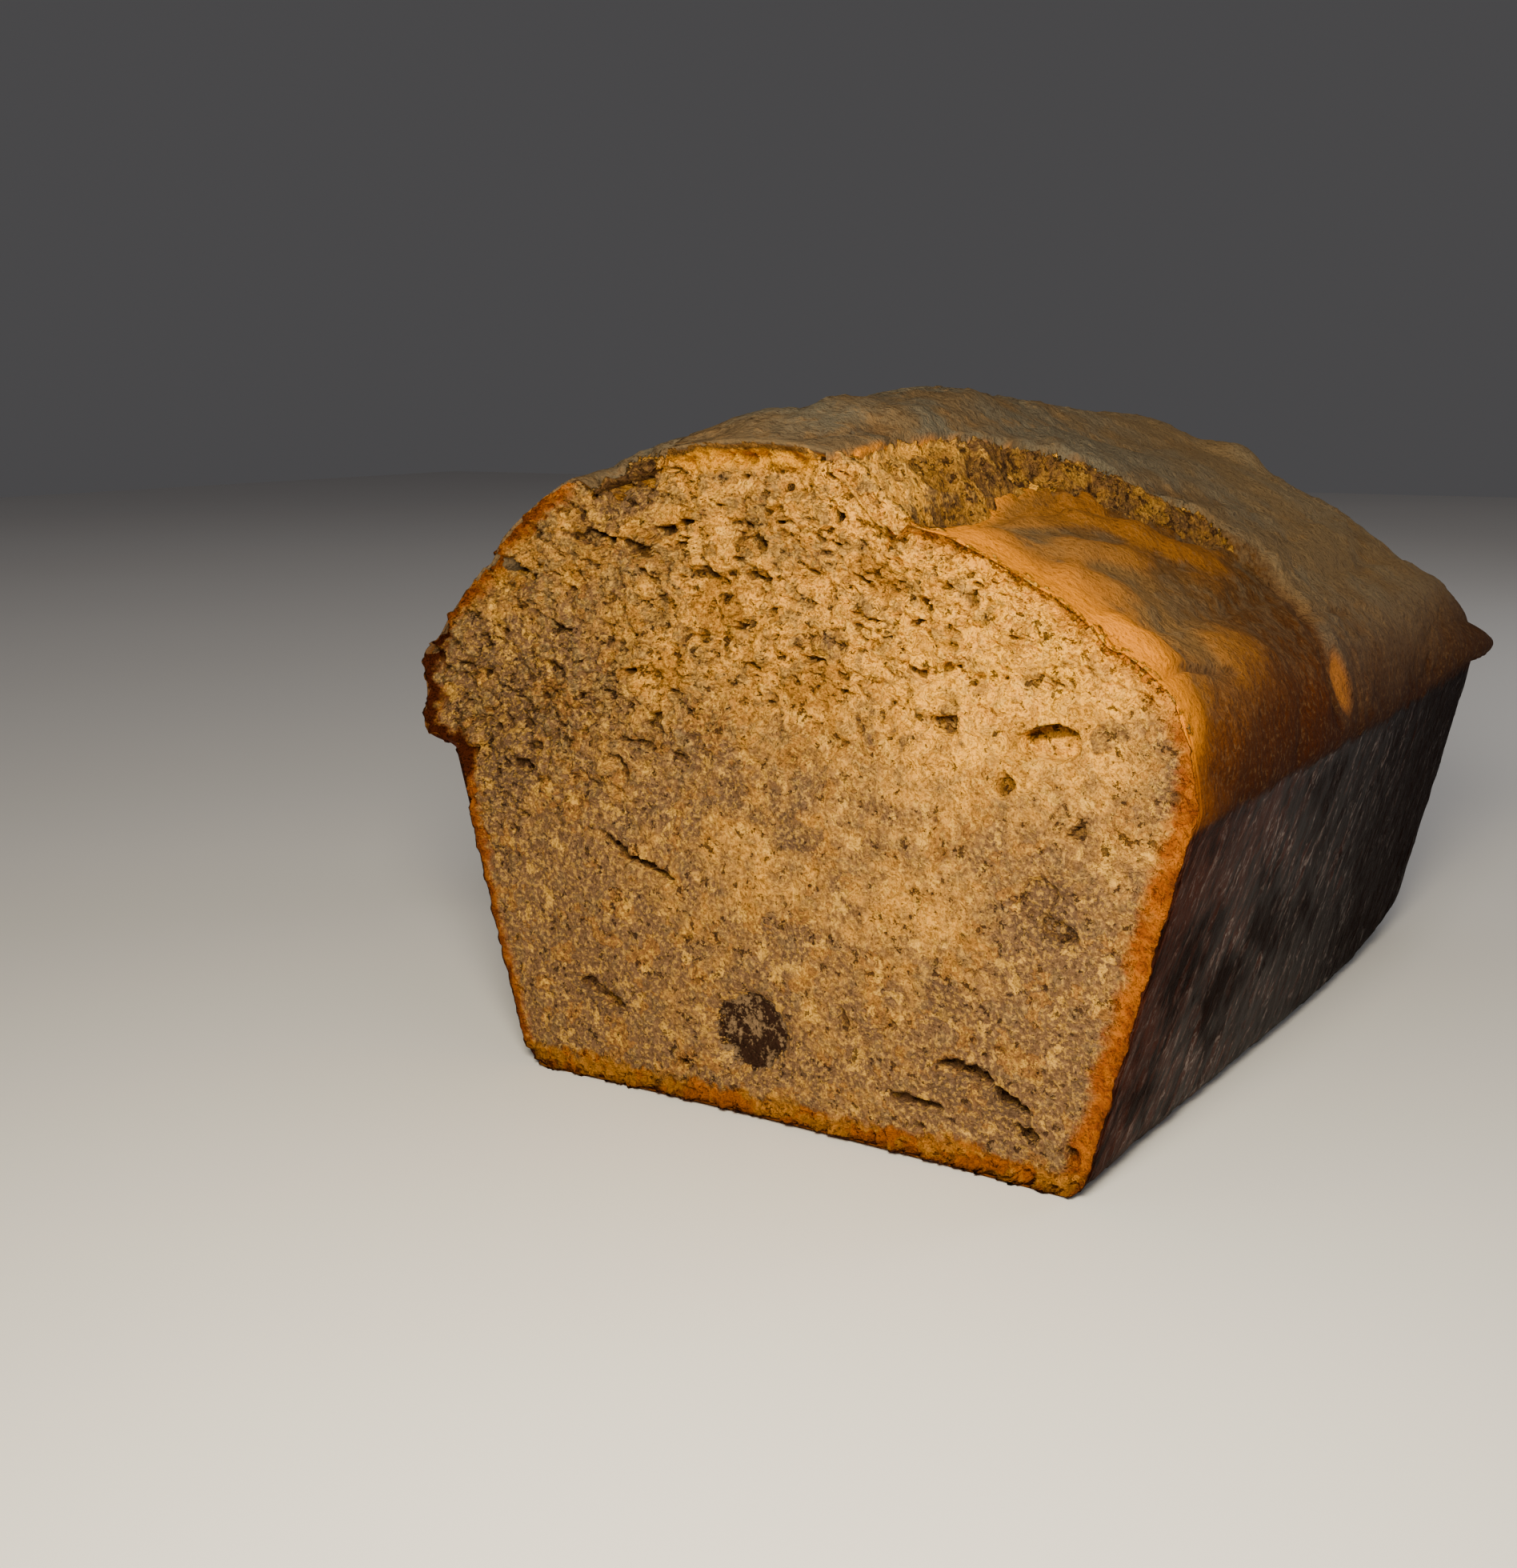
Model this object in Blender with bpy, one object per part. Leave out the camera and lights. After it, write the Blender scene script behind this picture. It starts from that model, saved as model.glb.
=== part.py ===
"""The uneaten half of a loaf of banana bread, cut straight across.

Metres, +Z up. The loaf stands on Z = 0 with its length along Y: the cut face
looks to -Y and the baked end to +Y. It is one solid, because a cut loaf is one
piece: a block with a tin's taper, a tall uneven dome, a long crack that has
lifted the left half of the top, and a cut face torn into crags and hollows.
"""
import math

import bmesh
import bpy
from mathutils import Vector, noise

# Seed of the noise vectors, which would otherwise differ from run to run
NOISE_SEED = 7

# Driving sizes of the baked loaf, from the tin it was baked in
LENGTH = 0.1515          # cut face to the baked end, at the rim
FOOT_HALF_WIDTH = 0.0449  # half of the flat underside
RIM_HALF_WIDTH = 0.0577   # half of the width where the tin ended
RIM_HEIGHT = 0.0515       # height of the tin's rim on the loaf
RIM_RISE = 0.0010         # how much higher the rim line is at the baked end
FOOT_SPREAD = 0.0026      # how much the underside's half width grows to the baked end
FOOT_RADIUS = 0.0042      # rounding along the underside's edges at the cut face
END_FOOT_RADIUS = 0.0085  # and at the baked end
CORNER_AT_RIM = 0.0100    # plan radius of the baked end's upright corners
CORNER_AT_FOOT = 0.0130
END_DOME = 0.0300         # length over which the dome falls to the baked end
END_SLOPE = 0.10          # taper of the baked end, as a share of the height
WALL_SLOPE = (RIM_HALF_WIDTH - FOOT_HALF_WIDTH) / RIM_HEIGHT

# Height of the top across the loaf, from left to right: at the cut face, where
# the right lobe lies low, and over the middle, where the lifted half is highest
TOP_AT_CUT = [(-0.0575, 0.0676), (-0.0508, 0.0750), (-0.0430, 0.0817), (-0.0333, 0.0872),
              (-0.0220, 0.0898), (-0.0080, 0.0905), (0.0080, 0.0892), (0.0188, 0.0850),
              (0.0372, 0.0765), (0.0474, 0.0698), (0.0525, 0.0662)]
TOP_AT_CROWN = [(-0.0575, 0.0680), (-0.0508, 0.0758), (-0.0430, 0.0832), (-0.0333, 0.0900),
                (-0.0220, 0.0953), (-0.0120, 0.0986), (-0.0050, 0.0995), (0.0030, 0.0978),
                (0.0120, 0.0922), (0.0188, 0.0892), (0.0260, 0.0857), (0.0372, 0.0785),
                (0.0474, 0.0708), (0.0525, 0.0668)]
# Share of the crown's height along the loaf, from the cut face
CROWN_ALONG = [(0.000, 0.22), (0.012, 0.52), (0.027, 0.79), (0.040, 0.92), (0.052, 0.98),
               (0.064, 0.92), (0.077, 0.81), (0.088, 0.72), (0.105, 0.58), (0.120, 0.48), (0.150, 0.30)]

# The shoulders between the rim and the top, as (half width, height)
SHOULDER_RIGHT = [(0.0577, 0.0515), (0.0569, 0.0570), (0.0554, 0.0619), (0.0523, 0.0663), (0.0474, 0.0698)]
SHOULDER_LEFT = [(0.0577, 0.0480), (0.0636, 0.0500), (0.0630, 0.0558), (0.0633, 0.0614), (0.0600, 0.0644),
                 (0.0572, 0.0682), (0.0508, 0.0750)]
WALL_SHARE = 0.55        # share of a side's rows that are on the straight wall
LEFT_LIP_LEAST = 0.45    # how much of the left overhang is left at the baked end
END_LIP = 0.0036         # overhang of the rim at the baked end's corners
CAP_START = -0.0192      # where the lifted top begins at the cut face
NOTCH_DEPTH = 0.0022     # how far the torn top left of it lies lower
NOTCH_LENGTH = 0.011     # and how far back that reaches

# The crack in plan, from the cut face back and then over the right shoulder,
# with how high its lifted edge stands and how wide the torn slope below it is
CRACK = [(0.0085, -0.004), (0.0092, 0.012), (0.0110, 0.030), (0.0165, 0.0425), (0.0245, 0.0505),
         (0.0340, 0.0600), (0.0430, 0.0655), (0.0510, 0.0675), (0.0640, 0.0660)]
CRACK_LIFT = [(0.000, 0.0014), (0.020, 0.0014), (0.040, 0.0014), (0.060, 0.0014), (0.075, 0.0011), (0.110, 0.0008)]
CRACK_WIDTH = [(0.000, 0.0090), (0.035, 0.0095), (0.050, 0.0065), (0.065, 0.0040), (0.080, 0.0026), (0.110, 0.0024)]
CRACK_DIP = [(0.000, 0.0008), (0.015, 0.0024), (0.040, 0.0024), (0.055, 0.0012), (0.070, 0.0008), (0.110, 0.0007)]
SPLIT_AT = (0.0570, 0.0635, 0.0570)  # bare split where the fold meets the rim
SPLIT_SIZE = (0.0020, 0.0055)        # its half width along the loaf and half height
SPLIT_DEPTH = 0.0014
FOLD_BULGE, FOLD_GROOVE = 0.0012, 0.0010  # how far the fold stands out and its groove goes in

# Hollows of the cut face: across, height, half width, half height, depth, turn in degrees
HOLLOWS = [
    (-0.0048, 0.0130, 0.0062, 0.0055, 0.0016, 0),     # soft dark banana
    (0.0384, 0.0587, 0.0044, 0.0026, 0.0026, 8),      # smooth air pocket
    (-0.0245, 0.0350, 0.0070, 0.0016, 0.0024, -20),   # curved slit
    (0.0388, 0.0366, 0.0034, 0.0044, 0.0016, -20),
    (0.0281, 0.0141, 0.0042, 0.0013, 0.0026, -12),
    (0.0348, 0.0110, 0.0030, 0.0013, 0.0028, -25),
    (0.0209, 0.0085, 0.0040, 0.0011, 0.0018, 0),
    (0.0368, 0.0073, 0.0019, 0.0013, 0.0022, 0),
    (-0.0310, 0.0138, 0.0048, 0.0018, 0.0016, -24),
    (-0.0043, 0.0803, 0.0017, 0.0022, 0.0040, 0),
    (-0.0211, 0.0549, 0.0016, 0.0022, 0.0038, 20),
    (-0.0275, 0.0868, 0.0042, 0.0028, 0.0046, 25),    # torn hollow under the skin
    (-0.0470, 0.0749, 0.0030, 0.0013, 0.0034, -10),
    (-0.0461, 0.0459, 0.0034, 0.0020, 0.0018, 0),
    (-0.0268, 0.0480, 0.0020, 0.0026, 0.0022, 0),
    (0.0325, 0.0525, 0.0016, 0.0022, 0.0022, 30),
    (0.0242, 0.0592, 0.0024, 0.0014, 0.0018, 0),
    (-0.0245, 0.0788, 0.0036, 0.0013, 0.0034, -8),
    (-0.0188, 0.0812, 0.0052, 0.0014, 0.0028, 24),
    (-0.0320, 0.0797, 0.0060, 0.0014, 0.0024, 2),
]

# Relief
TORN_SMOOTH = 0.0007     # depth of the relief low on the cut face
TORN_ROUGH = 0.0034      # depth of the crags at its torn upper left
RIPPLE = 0.0007          # height of the folds in the baked top
WALL_WRINKLE = 0.00025   # height of the wrinkles on the tin's side
FACE_PLATE = 0.0075      # width of one torn flake

# Sampling before the thinning, and the share of triangles that is kept
STEPS_ACROSS, STEPS_ALONG, STEPS_UP = 62, 64, 46
KEPT_SHARE = 0.22
END_STEPS_SHARE = 0.30   # share of the steps along that lies on the baked end's curve
END_CURVE = 0.034

SLICE_COLOUR = (0.40, 0.22, 0.085, 1.0)


def smoothstep(value):
    """Ease from 0 to 1 as value goes from 0 to 1."""
    t = min(max(value, 0.0), 1.0)
    return t * t * (3.0 - 2.0 * t)


def curve_through(points, position):
    """Value at position of a smooth curve through (position, value) points."""
    last = len(points) - 1
    position = min(max(position, points[0][0]), points[last][0])
    i = 0
    while i < last - 1 and position > points[i + 1][0]:
        i += 1
    (x0, y0), (x1, y1) = points[i], points[i + 1]
    before = points[max(i - 1, 0)]
    after = points[min(i + 2, last)]
    span = x1 - x0
    slope0 = (y1 - before[1]) / (x1 - before[0]) * span
    slope1 = (after[1] - y0) / (after[0] - x0) * span
    t = (position - x0) / span
    return (y0 * (1 + 2 * t) * (1 - t) ** 2 + slope0 * t * (1 - t) ** 2
            + y1 * t * t * (3 - 2 * t) + slope1 * t * t * (t - 1))


def point_along(points, share):
    """Point at a share, 0 to 1, of a smooth path through points."""
    steps = len(points) - 1
    knots = [i / steps for i in range(steps + 1)]
    return tuple(curve_through(list(zip(knots, axis)), share) for axis in zip(*points))


def rim_at(y):
    """Height of the rim line, which climbs a little to the baked end."""
    return RIM_HEIGHT + RIM_RISE * (y / LENGTH) ** 2


def end_fall(y):
    """1 on most of the dome, falling to 0 where it meets the baked end."""
    t = min(max((y - (LENGTH - END_DOME)) / END_DOME, 0.0), 1.0)
    return math.sqrt(1.0 - t ** 2.4)


def crack_place(x, y):
    """Signed distance to the crack (positive in front of it) and the way along it."""
    nearest, along, travelled = None, 0.0, 0.0
    for (x0, y0), (x1, y1) in zip(CRACK, CRACK[1:]):
        dx, dy = x1 - x0, y1 - y0
        length = math.hypot(dx, dy)
        t = min(max(((x - x0) * dx + (y - y0) * dy) / length ** 2, 0.0), 1.0)
        off_x, off_y = x - (x0 + t * dx), y - (y0 + t * dy)
        distance = math.hypot(off_x, off_y)
        if nearest is None or distance < abs(nearest):
            side = dy * off_x - dx * off_y
            nearest = math.copysign(distance, side)
            along = travelled + t * length
        travelled += length
    return nearest, along


def top_height(x, y):
    """Height of the top at a place in plan, with the crack's step and the notch."""
    at_cut = curve_through(TOP_AT_CUT, x)
    crown = curve_through(TOP_AT_CROWN, x)
    share = curve_through(CROWN_ALONG, y)
    distance, along = crack_place(x, y)
    width = curve_through(CRACK_WIDTH, along)
    lift = curve_through(CRACK_LIFT, along) * (1.0 - 0.6 * smoothstep(-distance / 0.03))
    lifted = at_cut + (crown - at_cut) * share + lift
    slope = smoothstep(distance / width)
    dip = curve_through(CRACK_DIP, along) * math.exp(-((distance - width) / (0.5 * width)) ** 2)
    height = lifted + (at_cut - lifted) * slope - dip
    torn = (1.0 - smoothstep((y - 0.6 * NOTCH_LENGTH) / (0.4 * NOTCH_LENGTH)))
    left_of_cap = smoothstep((CAP_START - x) / 0.0012) * smoothstep((x + 0.034) / 0.004)
    height -= NOTCH_DEPTH * torn * left_of_cap
    rim = rim_at(y)
    return rim + (height - rim) * end_fall(y)


def foot_radius(y):
    """Rounding of the underside's edges, wider at the baked end."""
    return FOOT_RADIUS + (END_FOOT_RADIUS - FOOT_RADIUS) * smoothstep((y - 0.75 * LENGTH) / (0.2 * LENGTH))


def foot_inset(z, y):
    """How far the rounding of the underside's edges draws a wall in at height z."""
    radius = foot_radius(y)
    under = max(radius - z, 0.0)
    return 0.8 * (radius - math.sqrt(radius ** 2 - under ** 2))


def side_point(side, share, y):
    """Point of the left (-1) or right (1) side at a share, 0 to 1, of its height."""
    shoulder = SHOULDER_RIGHT if side > 0 else SHOULDER_LEFT
    rim_shift = rim_at(y) - RIM_HEIGHT
    foot = Vector((FOOT_HALF_WIDTH + FOOT_SPREAD * smoothstep(y / (0.7 * LENGTH)), 0.0))
    rim = Vector((shoulder[0][0], shoulder[0][1] + rim_shift))
    if share <= WALL_SHARE:
        t = share / WALL_SHARE
        out, up = foot.lerp(rim, t)
        return side * (out - foot_inset(up, y)), up
    t = (share - WALL_SHARE) / (1.0 - WALL_SHARE)
    out, up = point_along(shoulder, t)
    overhang = max(out - RIM_HALF_WIDTH, 0.0)
    keep = 1.0 - (1.0 - LEFT_LIP_LEAST) * smoothstep(y / (0.7 * LENGTH))
    corner_lip = END_LIP * smoothstep((y - 0.72 * LENGTH) / (0.2 * LENGTH)) * math.sin(math.pi * min(0.12 + t * 2.4, 1.0))
    out = out - overhang * (1.0 - keep) + corner_lip
    rim_height = shoulder[0][1]
    up = rim_height + rim_shift + (up - rim_height) * (0.06 + 0.94 * end_fall(y))
    return side * out, up


def section_point(across, up_share, y):
    """Point of the section at y, for shares 0 to 1 across and up, filled between its four edges."""
    left_x, left_z = side_point(-1, up_share, y)
    right_x, right_z = side_point(1, up_share, y)
    left_top, right_top = side_point(-1, 1.0, y), side_point(1, 1.0, y)
    chord = left_top[1] + (right_top[1] - left_top[1]) * across
    top_x = left_top[0] + (right_top[0] - left_top[0]) * across
    from_side = smoothstep(min(across, 1.0 - across) / 0.04)
    over_chord = (top_height(top_x, y) - chord) * from_side
    return left_x + (right_x - left_x) * across, left_z + (right_z - left_z) * across + up_share * over_chord


def station(share):
    """Distance from the cut face for a share, 0 to 1, of the steps along, closer at the baked end."""
    straight = 1.0 - END_STEPS_SHARE
    curve_start = LENGTH - END_CURVE
    if share <= straight:
        return curve_start * share / straight
    return curve_start + END_CURVE * math.sin((share - straight) / END_STEPS_SHARE * math.pi / 2)


def loaf_point(corner):
    """Place on the smooth loaf of a point of a cube that reaches from -1 to 1."""
    y = station((corner.y + 1) / 2)
    x, z = section_point((corner.x + 1) / 2, (corner.z + 1) / 2, y)
    below_rim = max(rim_at(y) - z, 0.0)
    end_share = (y / LENGTH) ** 3
    end_in = END_SLOPE * below_rim
    y -= end_in * y / LENGTH + foot_inset(z, y) * end_share
    radius = CORNER_AT_RIM + (CORNER_AT_FOOT - CORNER_AT_RIM) * below_rim / RIM_HEIGHT
    end_of_wall = LENGTH - end_in - foot_inset(z, LENGTH)
    into_corner = min(max(y - (end_of_wall - radius), 0.0), radius)
    inset = radius - math.sqrt(radius ** 2 - into_corner ** 2)
    x *= 1.0 - 0.9 * inset / (RIM_HALF_WIDTH - WALL_SLOPE * below_rim)
    return Vector((x, y, max(z, 0.0)))


def hollow_depth(x, z):
    """Depth of the named hollows of the cut face at a place on it."""
    depth = 0.0
    for centre_x, centre_z, half_width, half_height, deep, turn in HOLLOWS:
        angle = math.radians(turn)
        dx, dz = x - centre_x, z - centre_z
        along = (dx * math.cos(angle) + dz * math.sin(angle)) / half_width
        over = (dz * math.cos(angle) - dx * math.sin(angle)) / half_height
        reach = along * along + over * over
        depth = max(depth, deep * (1.0 - smoothstep((reach - 0.25) / 1.25)))
    return depth


def torn_depth(x, z):
    """Depth of the crags of the cut face: rough at the upper left, finer low down."""
    upper_left = smoothstep((z - 0.35 * x - 0.045) / 0.035)
    rough = TORN_SMOOTH + (TORN_ROUGH - TORN_SMOOTH) * upper_left
    place = Vector((x, 0.3 * z, z)) / FACE_PLATE
    bent = place + 0.5 * noise.noise_vector(place * 1.7)
    distances, points = noise.voronoi(bent)
    plate = 0.5 + 0.5 * noise.noise(points[0] * 3.1)
    gap = 1.0 - smoothstep((distances[1] - distances[0]) / 0.25)
    fine = 0.5 + 0.5 * noise.fractal(place * 2.2, 0.8, 2.0, 3)
    return rough * (0.50 * plate + 0.15 * gap + 0.35 * fine)


def skin_relief(point):
    """Height of the folds of the baked top and of the fine wrinkles of the sides."""
    on_top = smoothstep((point.z - rim_at(point.y) + 0.001) / 0.01)
    drift = Vector((point.x * 95, point.y * 26, point.z * 40))
    folds = noise.fractal(drift + noise.noise_vector(drift * 0.6), 0.9, 2.1, 3)
    wrinkle = noise.noise(Vector((point.x * 60, point.y * 330, point.z * 60)))
    return on_top * RIPPLE * folds + (1.0 - on_top) * WALL_WRINKLE * wrinkle


def split_relief(point):
    """Depth of the bare split on the right shoulder."""
    along = (point.y - SPLIT_AT[1]) / SPLIT_SIZE[0]
    up = (point.z - SPLIT_AT[2]) / SPLIT_SIZE[1]
    near = 1.0 - smoothstep((along * along + up * up - 0.3) / 1.2)
    on_right = smoothstep((point.x - 0.045) / 0.008)
    return SPLIT_DEPTH * near * on_right


def fold_relief(point):
    """Height of the fold that goes on from the crack over the right shoulder."""
    distance = crack_place(point.x, point.y)[0]
    here = smoothstep((point.x - 0.036) / 0.010) * smoothstep((point.z - RIM_HEIGHT + 0.001) / 0.004)
    groove = math.exp(-(distance / 0.0022) ** 2)
    bulge = smoothstep(-distance / 0.003) * (1.0 - smoothstep((-distance - 0.003) / 0.014))
    return here * (FOLD_BULGE * bulge - FOLD_GROOVE * groove)


def loaf_mesh():
    """Cube, subdivided and moved to the loaf's surface, then given its relief."""
    mesh = bmesh.new()
    bmesh.ops.create_cube(mesh, size=2.0)
    for axis, steps in ((0, STEPS_ACROSS), (1, STEPS_ALONG), (2, STEPS_UP)):
        edges = [edge for edge in mesh.edges
                 if abs(edge.verts[0].co[axis] - edge.verts[1].co[axis]) > 1e-6]
        bmesh.ops.subdivide_edges(mesh, edges=edges, cuts=steps - 1, use_grid_fill=True)
    on_cut = [vert for vert in mesh.verts if vert.co.y < -0.999]
    on_base = {vert for vert in mesh.verts if vert.co.z < -0.999}
    inside_cut = {vert: min(1 - abs(vert.co.x), 1 - abs(vert.co.z)) for vert in on_cut}
    for vert in mesh.verts:
        vert.co = loaf_point(vert.co)
    mesh.normal_update()
    skin = [(vert, vert.normal.copy()) for vert in mesh.verts if vert not in inside_cut and vert not in on_base]
    for vert, normal in skin:
        near_cut = smoothstep(vert.co.y / 0.004)
        vert.co += normal * near_cut * (skin_relief(vert.co) + fold_relief(vert.co) - split_relief(vert.co))
    for vert in on_cut:
        x, z = vert.co.x, vert.co.z
        near_edge = 0.25 + 0.75 * smoothstep(inside_cut[vert] / 0.12)
        near_foot = smoothstep(z / 0.004)
        vert.co.y += (torn_depth(x, z) * near_edge * near_foot
                      + hollow_depth(x, z) * smoothstep(inside_cut[vert] / 0.03))
    return mesh


def stand_on_origin(mesh):
    """Move the mesh so that the middle of its underside's box is at the origin."""
    low = [min(vert.co[axis] for vert in mesh.verts) for axis in range(3)]
    high = [max(vert.co[axis] for vert in mesh.verts) for axis in range(3)]
    shift = Vector((-(low[0] + high[0]) / 2, -(low[1] + high[1]) / 2, -low[2]))
    bmesh.ops.translate(mesh, verts=mesh.verts, vec=shift)
    print("the cut face's middle is at", tuple(round(value, 5) for value in shift))


def bread_material():
    """Matt, warm brown bread."""
    material = bpy.data.materials.new("banana_bread")
    material.use_nodes = True
    shader = material.node_tree.nodes["Principled BSDF"]
    shader.inputs["Base Color"].default_value = SLICE_COLOUR
    shader.inputs["Roughness"].default_value = 0.8
    shader.inputs["Metallic"].default_value = 0.0
    return material


def build():
    """Make the loaf in a collection of its own."""
    noise.seed_set(NOISE_SEED)
    for thing in list(bpy.data.objects):
        bpy.data.objects.remove(thing, do_unlink=True)
    collection = bpy.data.collections.new("banana_bread")
    bpy.context.scene.collection.children.link(collection)
    mesh = loaf_mesh()
    stand_on_origin(mesh)
    data = bpy.data.meshes.new("loaf")
    mesh.to_mesh(data)
    mesh.free()
    loaf = bpy.data.objects.new("loaf", data)
    loaf.data.materials.append(bread_material())
    collection.objects.link(loaf)
    thin = loaf.modifiers.new("thin_out", "DECIMATE")
    thin.ratio = KEPT_SHARE
    thin.use_collapse_triangulate = True


build()
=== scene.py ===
# %% [markdown]
# # A cut loaf of banana bread
# The loaf was baked in a tapered tin, rose into a tall dome that cracked along its
# length, and was cut straight across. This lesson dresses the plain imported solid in
# three skins: the baked crust, the torn crumb of the cut face, and the crumb that
# shows in the crack. Lengths are in metres; the long tables are written in
# millimetres and turned into metres as they are read.

import math
from functools import lru_cache

import bmesh
import bpy
from mathutils import Matrix, Vector, kdtree, noise


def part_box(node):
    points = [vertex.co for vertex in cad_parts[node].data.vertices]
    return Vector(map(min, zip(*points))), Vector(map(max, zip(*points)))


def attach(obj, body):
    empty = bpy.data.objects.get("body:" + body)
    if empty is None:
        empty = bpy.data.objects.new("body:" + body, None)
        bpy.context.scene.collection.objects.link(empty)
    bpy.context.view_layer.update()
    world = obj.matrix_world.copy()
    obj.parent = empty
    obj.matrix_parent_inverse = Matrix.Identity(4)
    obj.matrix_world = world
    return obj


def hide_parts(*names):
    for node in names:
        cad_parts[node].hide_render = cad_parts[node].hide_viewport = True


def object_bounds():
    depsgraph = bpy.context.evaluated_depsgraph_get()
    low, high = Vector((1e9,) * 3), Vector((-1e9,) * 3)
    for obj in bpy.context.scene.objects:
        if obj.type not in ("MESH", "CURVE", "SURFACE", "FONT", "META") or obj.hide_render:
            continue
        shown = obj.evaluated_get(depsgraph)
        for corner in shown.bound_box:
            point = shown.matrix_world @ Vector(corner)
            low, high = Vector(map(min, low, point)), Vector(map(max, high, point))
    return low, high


NOISE_SEED = 7
noise.seed_set(NOISE_SEED)   # without a seed of its own, noise_vector gives other values each run

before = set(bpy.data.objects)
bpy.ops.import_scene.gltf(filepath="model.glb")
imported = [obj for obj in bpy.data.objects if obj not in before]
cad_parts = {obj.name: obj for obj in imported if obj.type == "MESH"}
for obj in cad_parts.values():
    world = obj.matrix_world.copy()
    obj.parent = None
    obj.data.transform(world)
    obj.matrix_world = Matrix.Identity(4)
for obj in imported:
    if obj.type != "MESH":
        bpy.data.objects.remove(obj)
cad_low, cad_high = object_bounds()
loaf_low, loaf_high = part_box("loaf")
print(len(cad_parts), "node in the packed model")
print("loaf box", [round(v, 4) for v in loaf_low], [round(v, 4) for v in loaf_high])

# %% [markdown]
# The loaf's own measures are easiest to name from its cut face: x = 0 in the middle of
# the foot, y = 0 on the cut and z = 0 under the foot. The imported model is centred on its
# box instead, so one shift, taken from the frame, carries the first into the second.

# %% Where the cut face lies in the frame
FACE_MIDDLE_X = 0.0016
TO_FRAME = Vector((FACE_MIDDLE_X, loaf_low[1], loaf_low[2]))
LENGTH = 0.1515
print("cut face at y =", round(TO_FRAME.y, 4), "length", round(loaf_high[1] - loaf_low[1], 4))

# %% [markdown]
# The camera stands to the right of the cut face, a little above the dome, and turns left
# towards it. Its place and its turn are given as a photographer would say them: where it
# stands, how far it is swung, tipped and rolled, and how long its lens is.

# %% Camera
CAMERA_AT = Vector((0.12584, -0.19665, 0.09984))
SWING, TIP, ROLL = math.radians(33.206), math.radians(12.327), math.radians(-0.35)
LENS_PIXELS, IMAGE_HEIGHT, SENSOR = 2250.5, 1960, 36.0


def new_object(name, data):
    """An object of the scene, made from its data."""
    made = bpy.data.objects.new(name, data)
    bpy.context.scene.collection.objects.link(made)
    return made


def add_camera():
    """Camera at the viewing angle, made the scene's own."""
    forward = Vector((-math.sin(SWING) * math.cos(TIP), math.cos(SWING) * math.cos(TIP), -math.sin(TIP)))
    level = forward.cross(Vector((0, 0, 1))).normalized()
    above = level.cross(forward)
    right = math.cos(ROLL) * level + math.sin(ROLL) * above
    up = math.cos(ROLL) * above - math.sin(ROLL) * level
    turn = Matrix((right, up, -forward)).transposed().to_4x4()
    data = bpy.data.cameras.new("camera")
    data.sensor_width = SENSOR
    data.lens = LENS_PIXELS * SENSOR / IMAGE_HEIGHT
    data.clip_start = 0.01
    camera = new_object("camera", data)
    camera.matrix_world = Matrix.Translation(CAMERA_AT + TO_FRAME) @ turn
    bpy.context.scene.camera = camera
    return camera


camera = add_camera()
print("lens", round(camera.data.lens, 1), "mm")

# %% [markdown]
# ## The form of the loaf
# A loaf from a tin is a set of cross sections: a straight, leaning wall up to the tin's
# rim, a shoulder where the batter rose over it, and a dome. Each is written as a short
# curve through a few measured points, and sections are stood one behind the other.
# The same form carries all three skins, so it is set out once, as functions.

# %% Millimetres
def metres(rows, plain=()):
    """Rows of millimetres as rows of metres; the columns in plain, such as turns, stay as they are."""
    return [tuple(value if column in plain else round(value / 1000, 7) for column, value in enumerate(row))
            for row in rows]


print("a row in metres", metres([(12.5, 30)], plain=(1,))[0])

# %% Sizes of the form
FOOT_HALF, RIM_HALF, RIM_HEIGHT, RIM_RISE = 0.0449, 0.0577, 0.0515, 0.0010
FOOT_SPREAD, FOOT_RADIUS, END_FOOT_RADIUS = 0.0026, 0.0042, 0.0085
CORNER_AT_RIM, CORNER_AT_FOOT, END_DOME, END_SLOPE = 0.0100, 0.0130, 0.0300, 0.10
WALL_SLOPE = (RIM_HALF - FOOT_HALF) / RIM_HEIGHT
TOP_AT_CUT = metres([(-57.5, 67.6), (-50.8, 75), (-43, 81.7), (-33.3, 87.2), (-22, 89.8), (-8, 90.5),
    (8, 89.2), (18.8, 85), (37.2, 76.5), (47.4, 69.8), (52.5, 66.2)])
TOP_AT_CROWN = metres([(-57.5, 68), (-50.8, 75.8), (-43, 83.2), (-33.3, 90), (-22, 95.3), (-12, 98.6),
    (-5, 99.5), (3, 97.8), (12, 92.2), (18.8, 89.2), (26, 85.7), (37.2, 78.5), (47.4, 70.8), (52.5, 66.8)])
CROWN_ALONG = metres([(0, 0.22), (12, 0.52), (27, 0.79), (40, 0.92), (52, 0.98), (64, 0.92), (77, 0.81),
    (88, 0.72), (105, 0.58), (120, 0.48), (150, 0.3)], plain=(1,))
SHOULDER_RIGHT = metres([(57.7, 51.5), (56.9, 57), (55.4, 61.9), (52.3, 66.3), (47.4, 69.8)])
SHOULDER_LEFT = metres([(57.7, 48), (63.6, 50), (63, 55.8), (63.3, 61.4), (60, 64.4), (57.2, 68.2),
    (50.8, 75)])
WALL_SHARE, LEFT_LIP_LEAST, END_LIP = 0.55, 0.45, 0.0036
CAP_START, NOTCH_DEPTH, NOTCH_LENGTH = -0.0192, 0.0022, 0.011
CRACK_ABOVE = 0.07            # the crack and the torn notch lie higher than this

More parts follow.
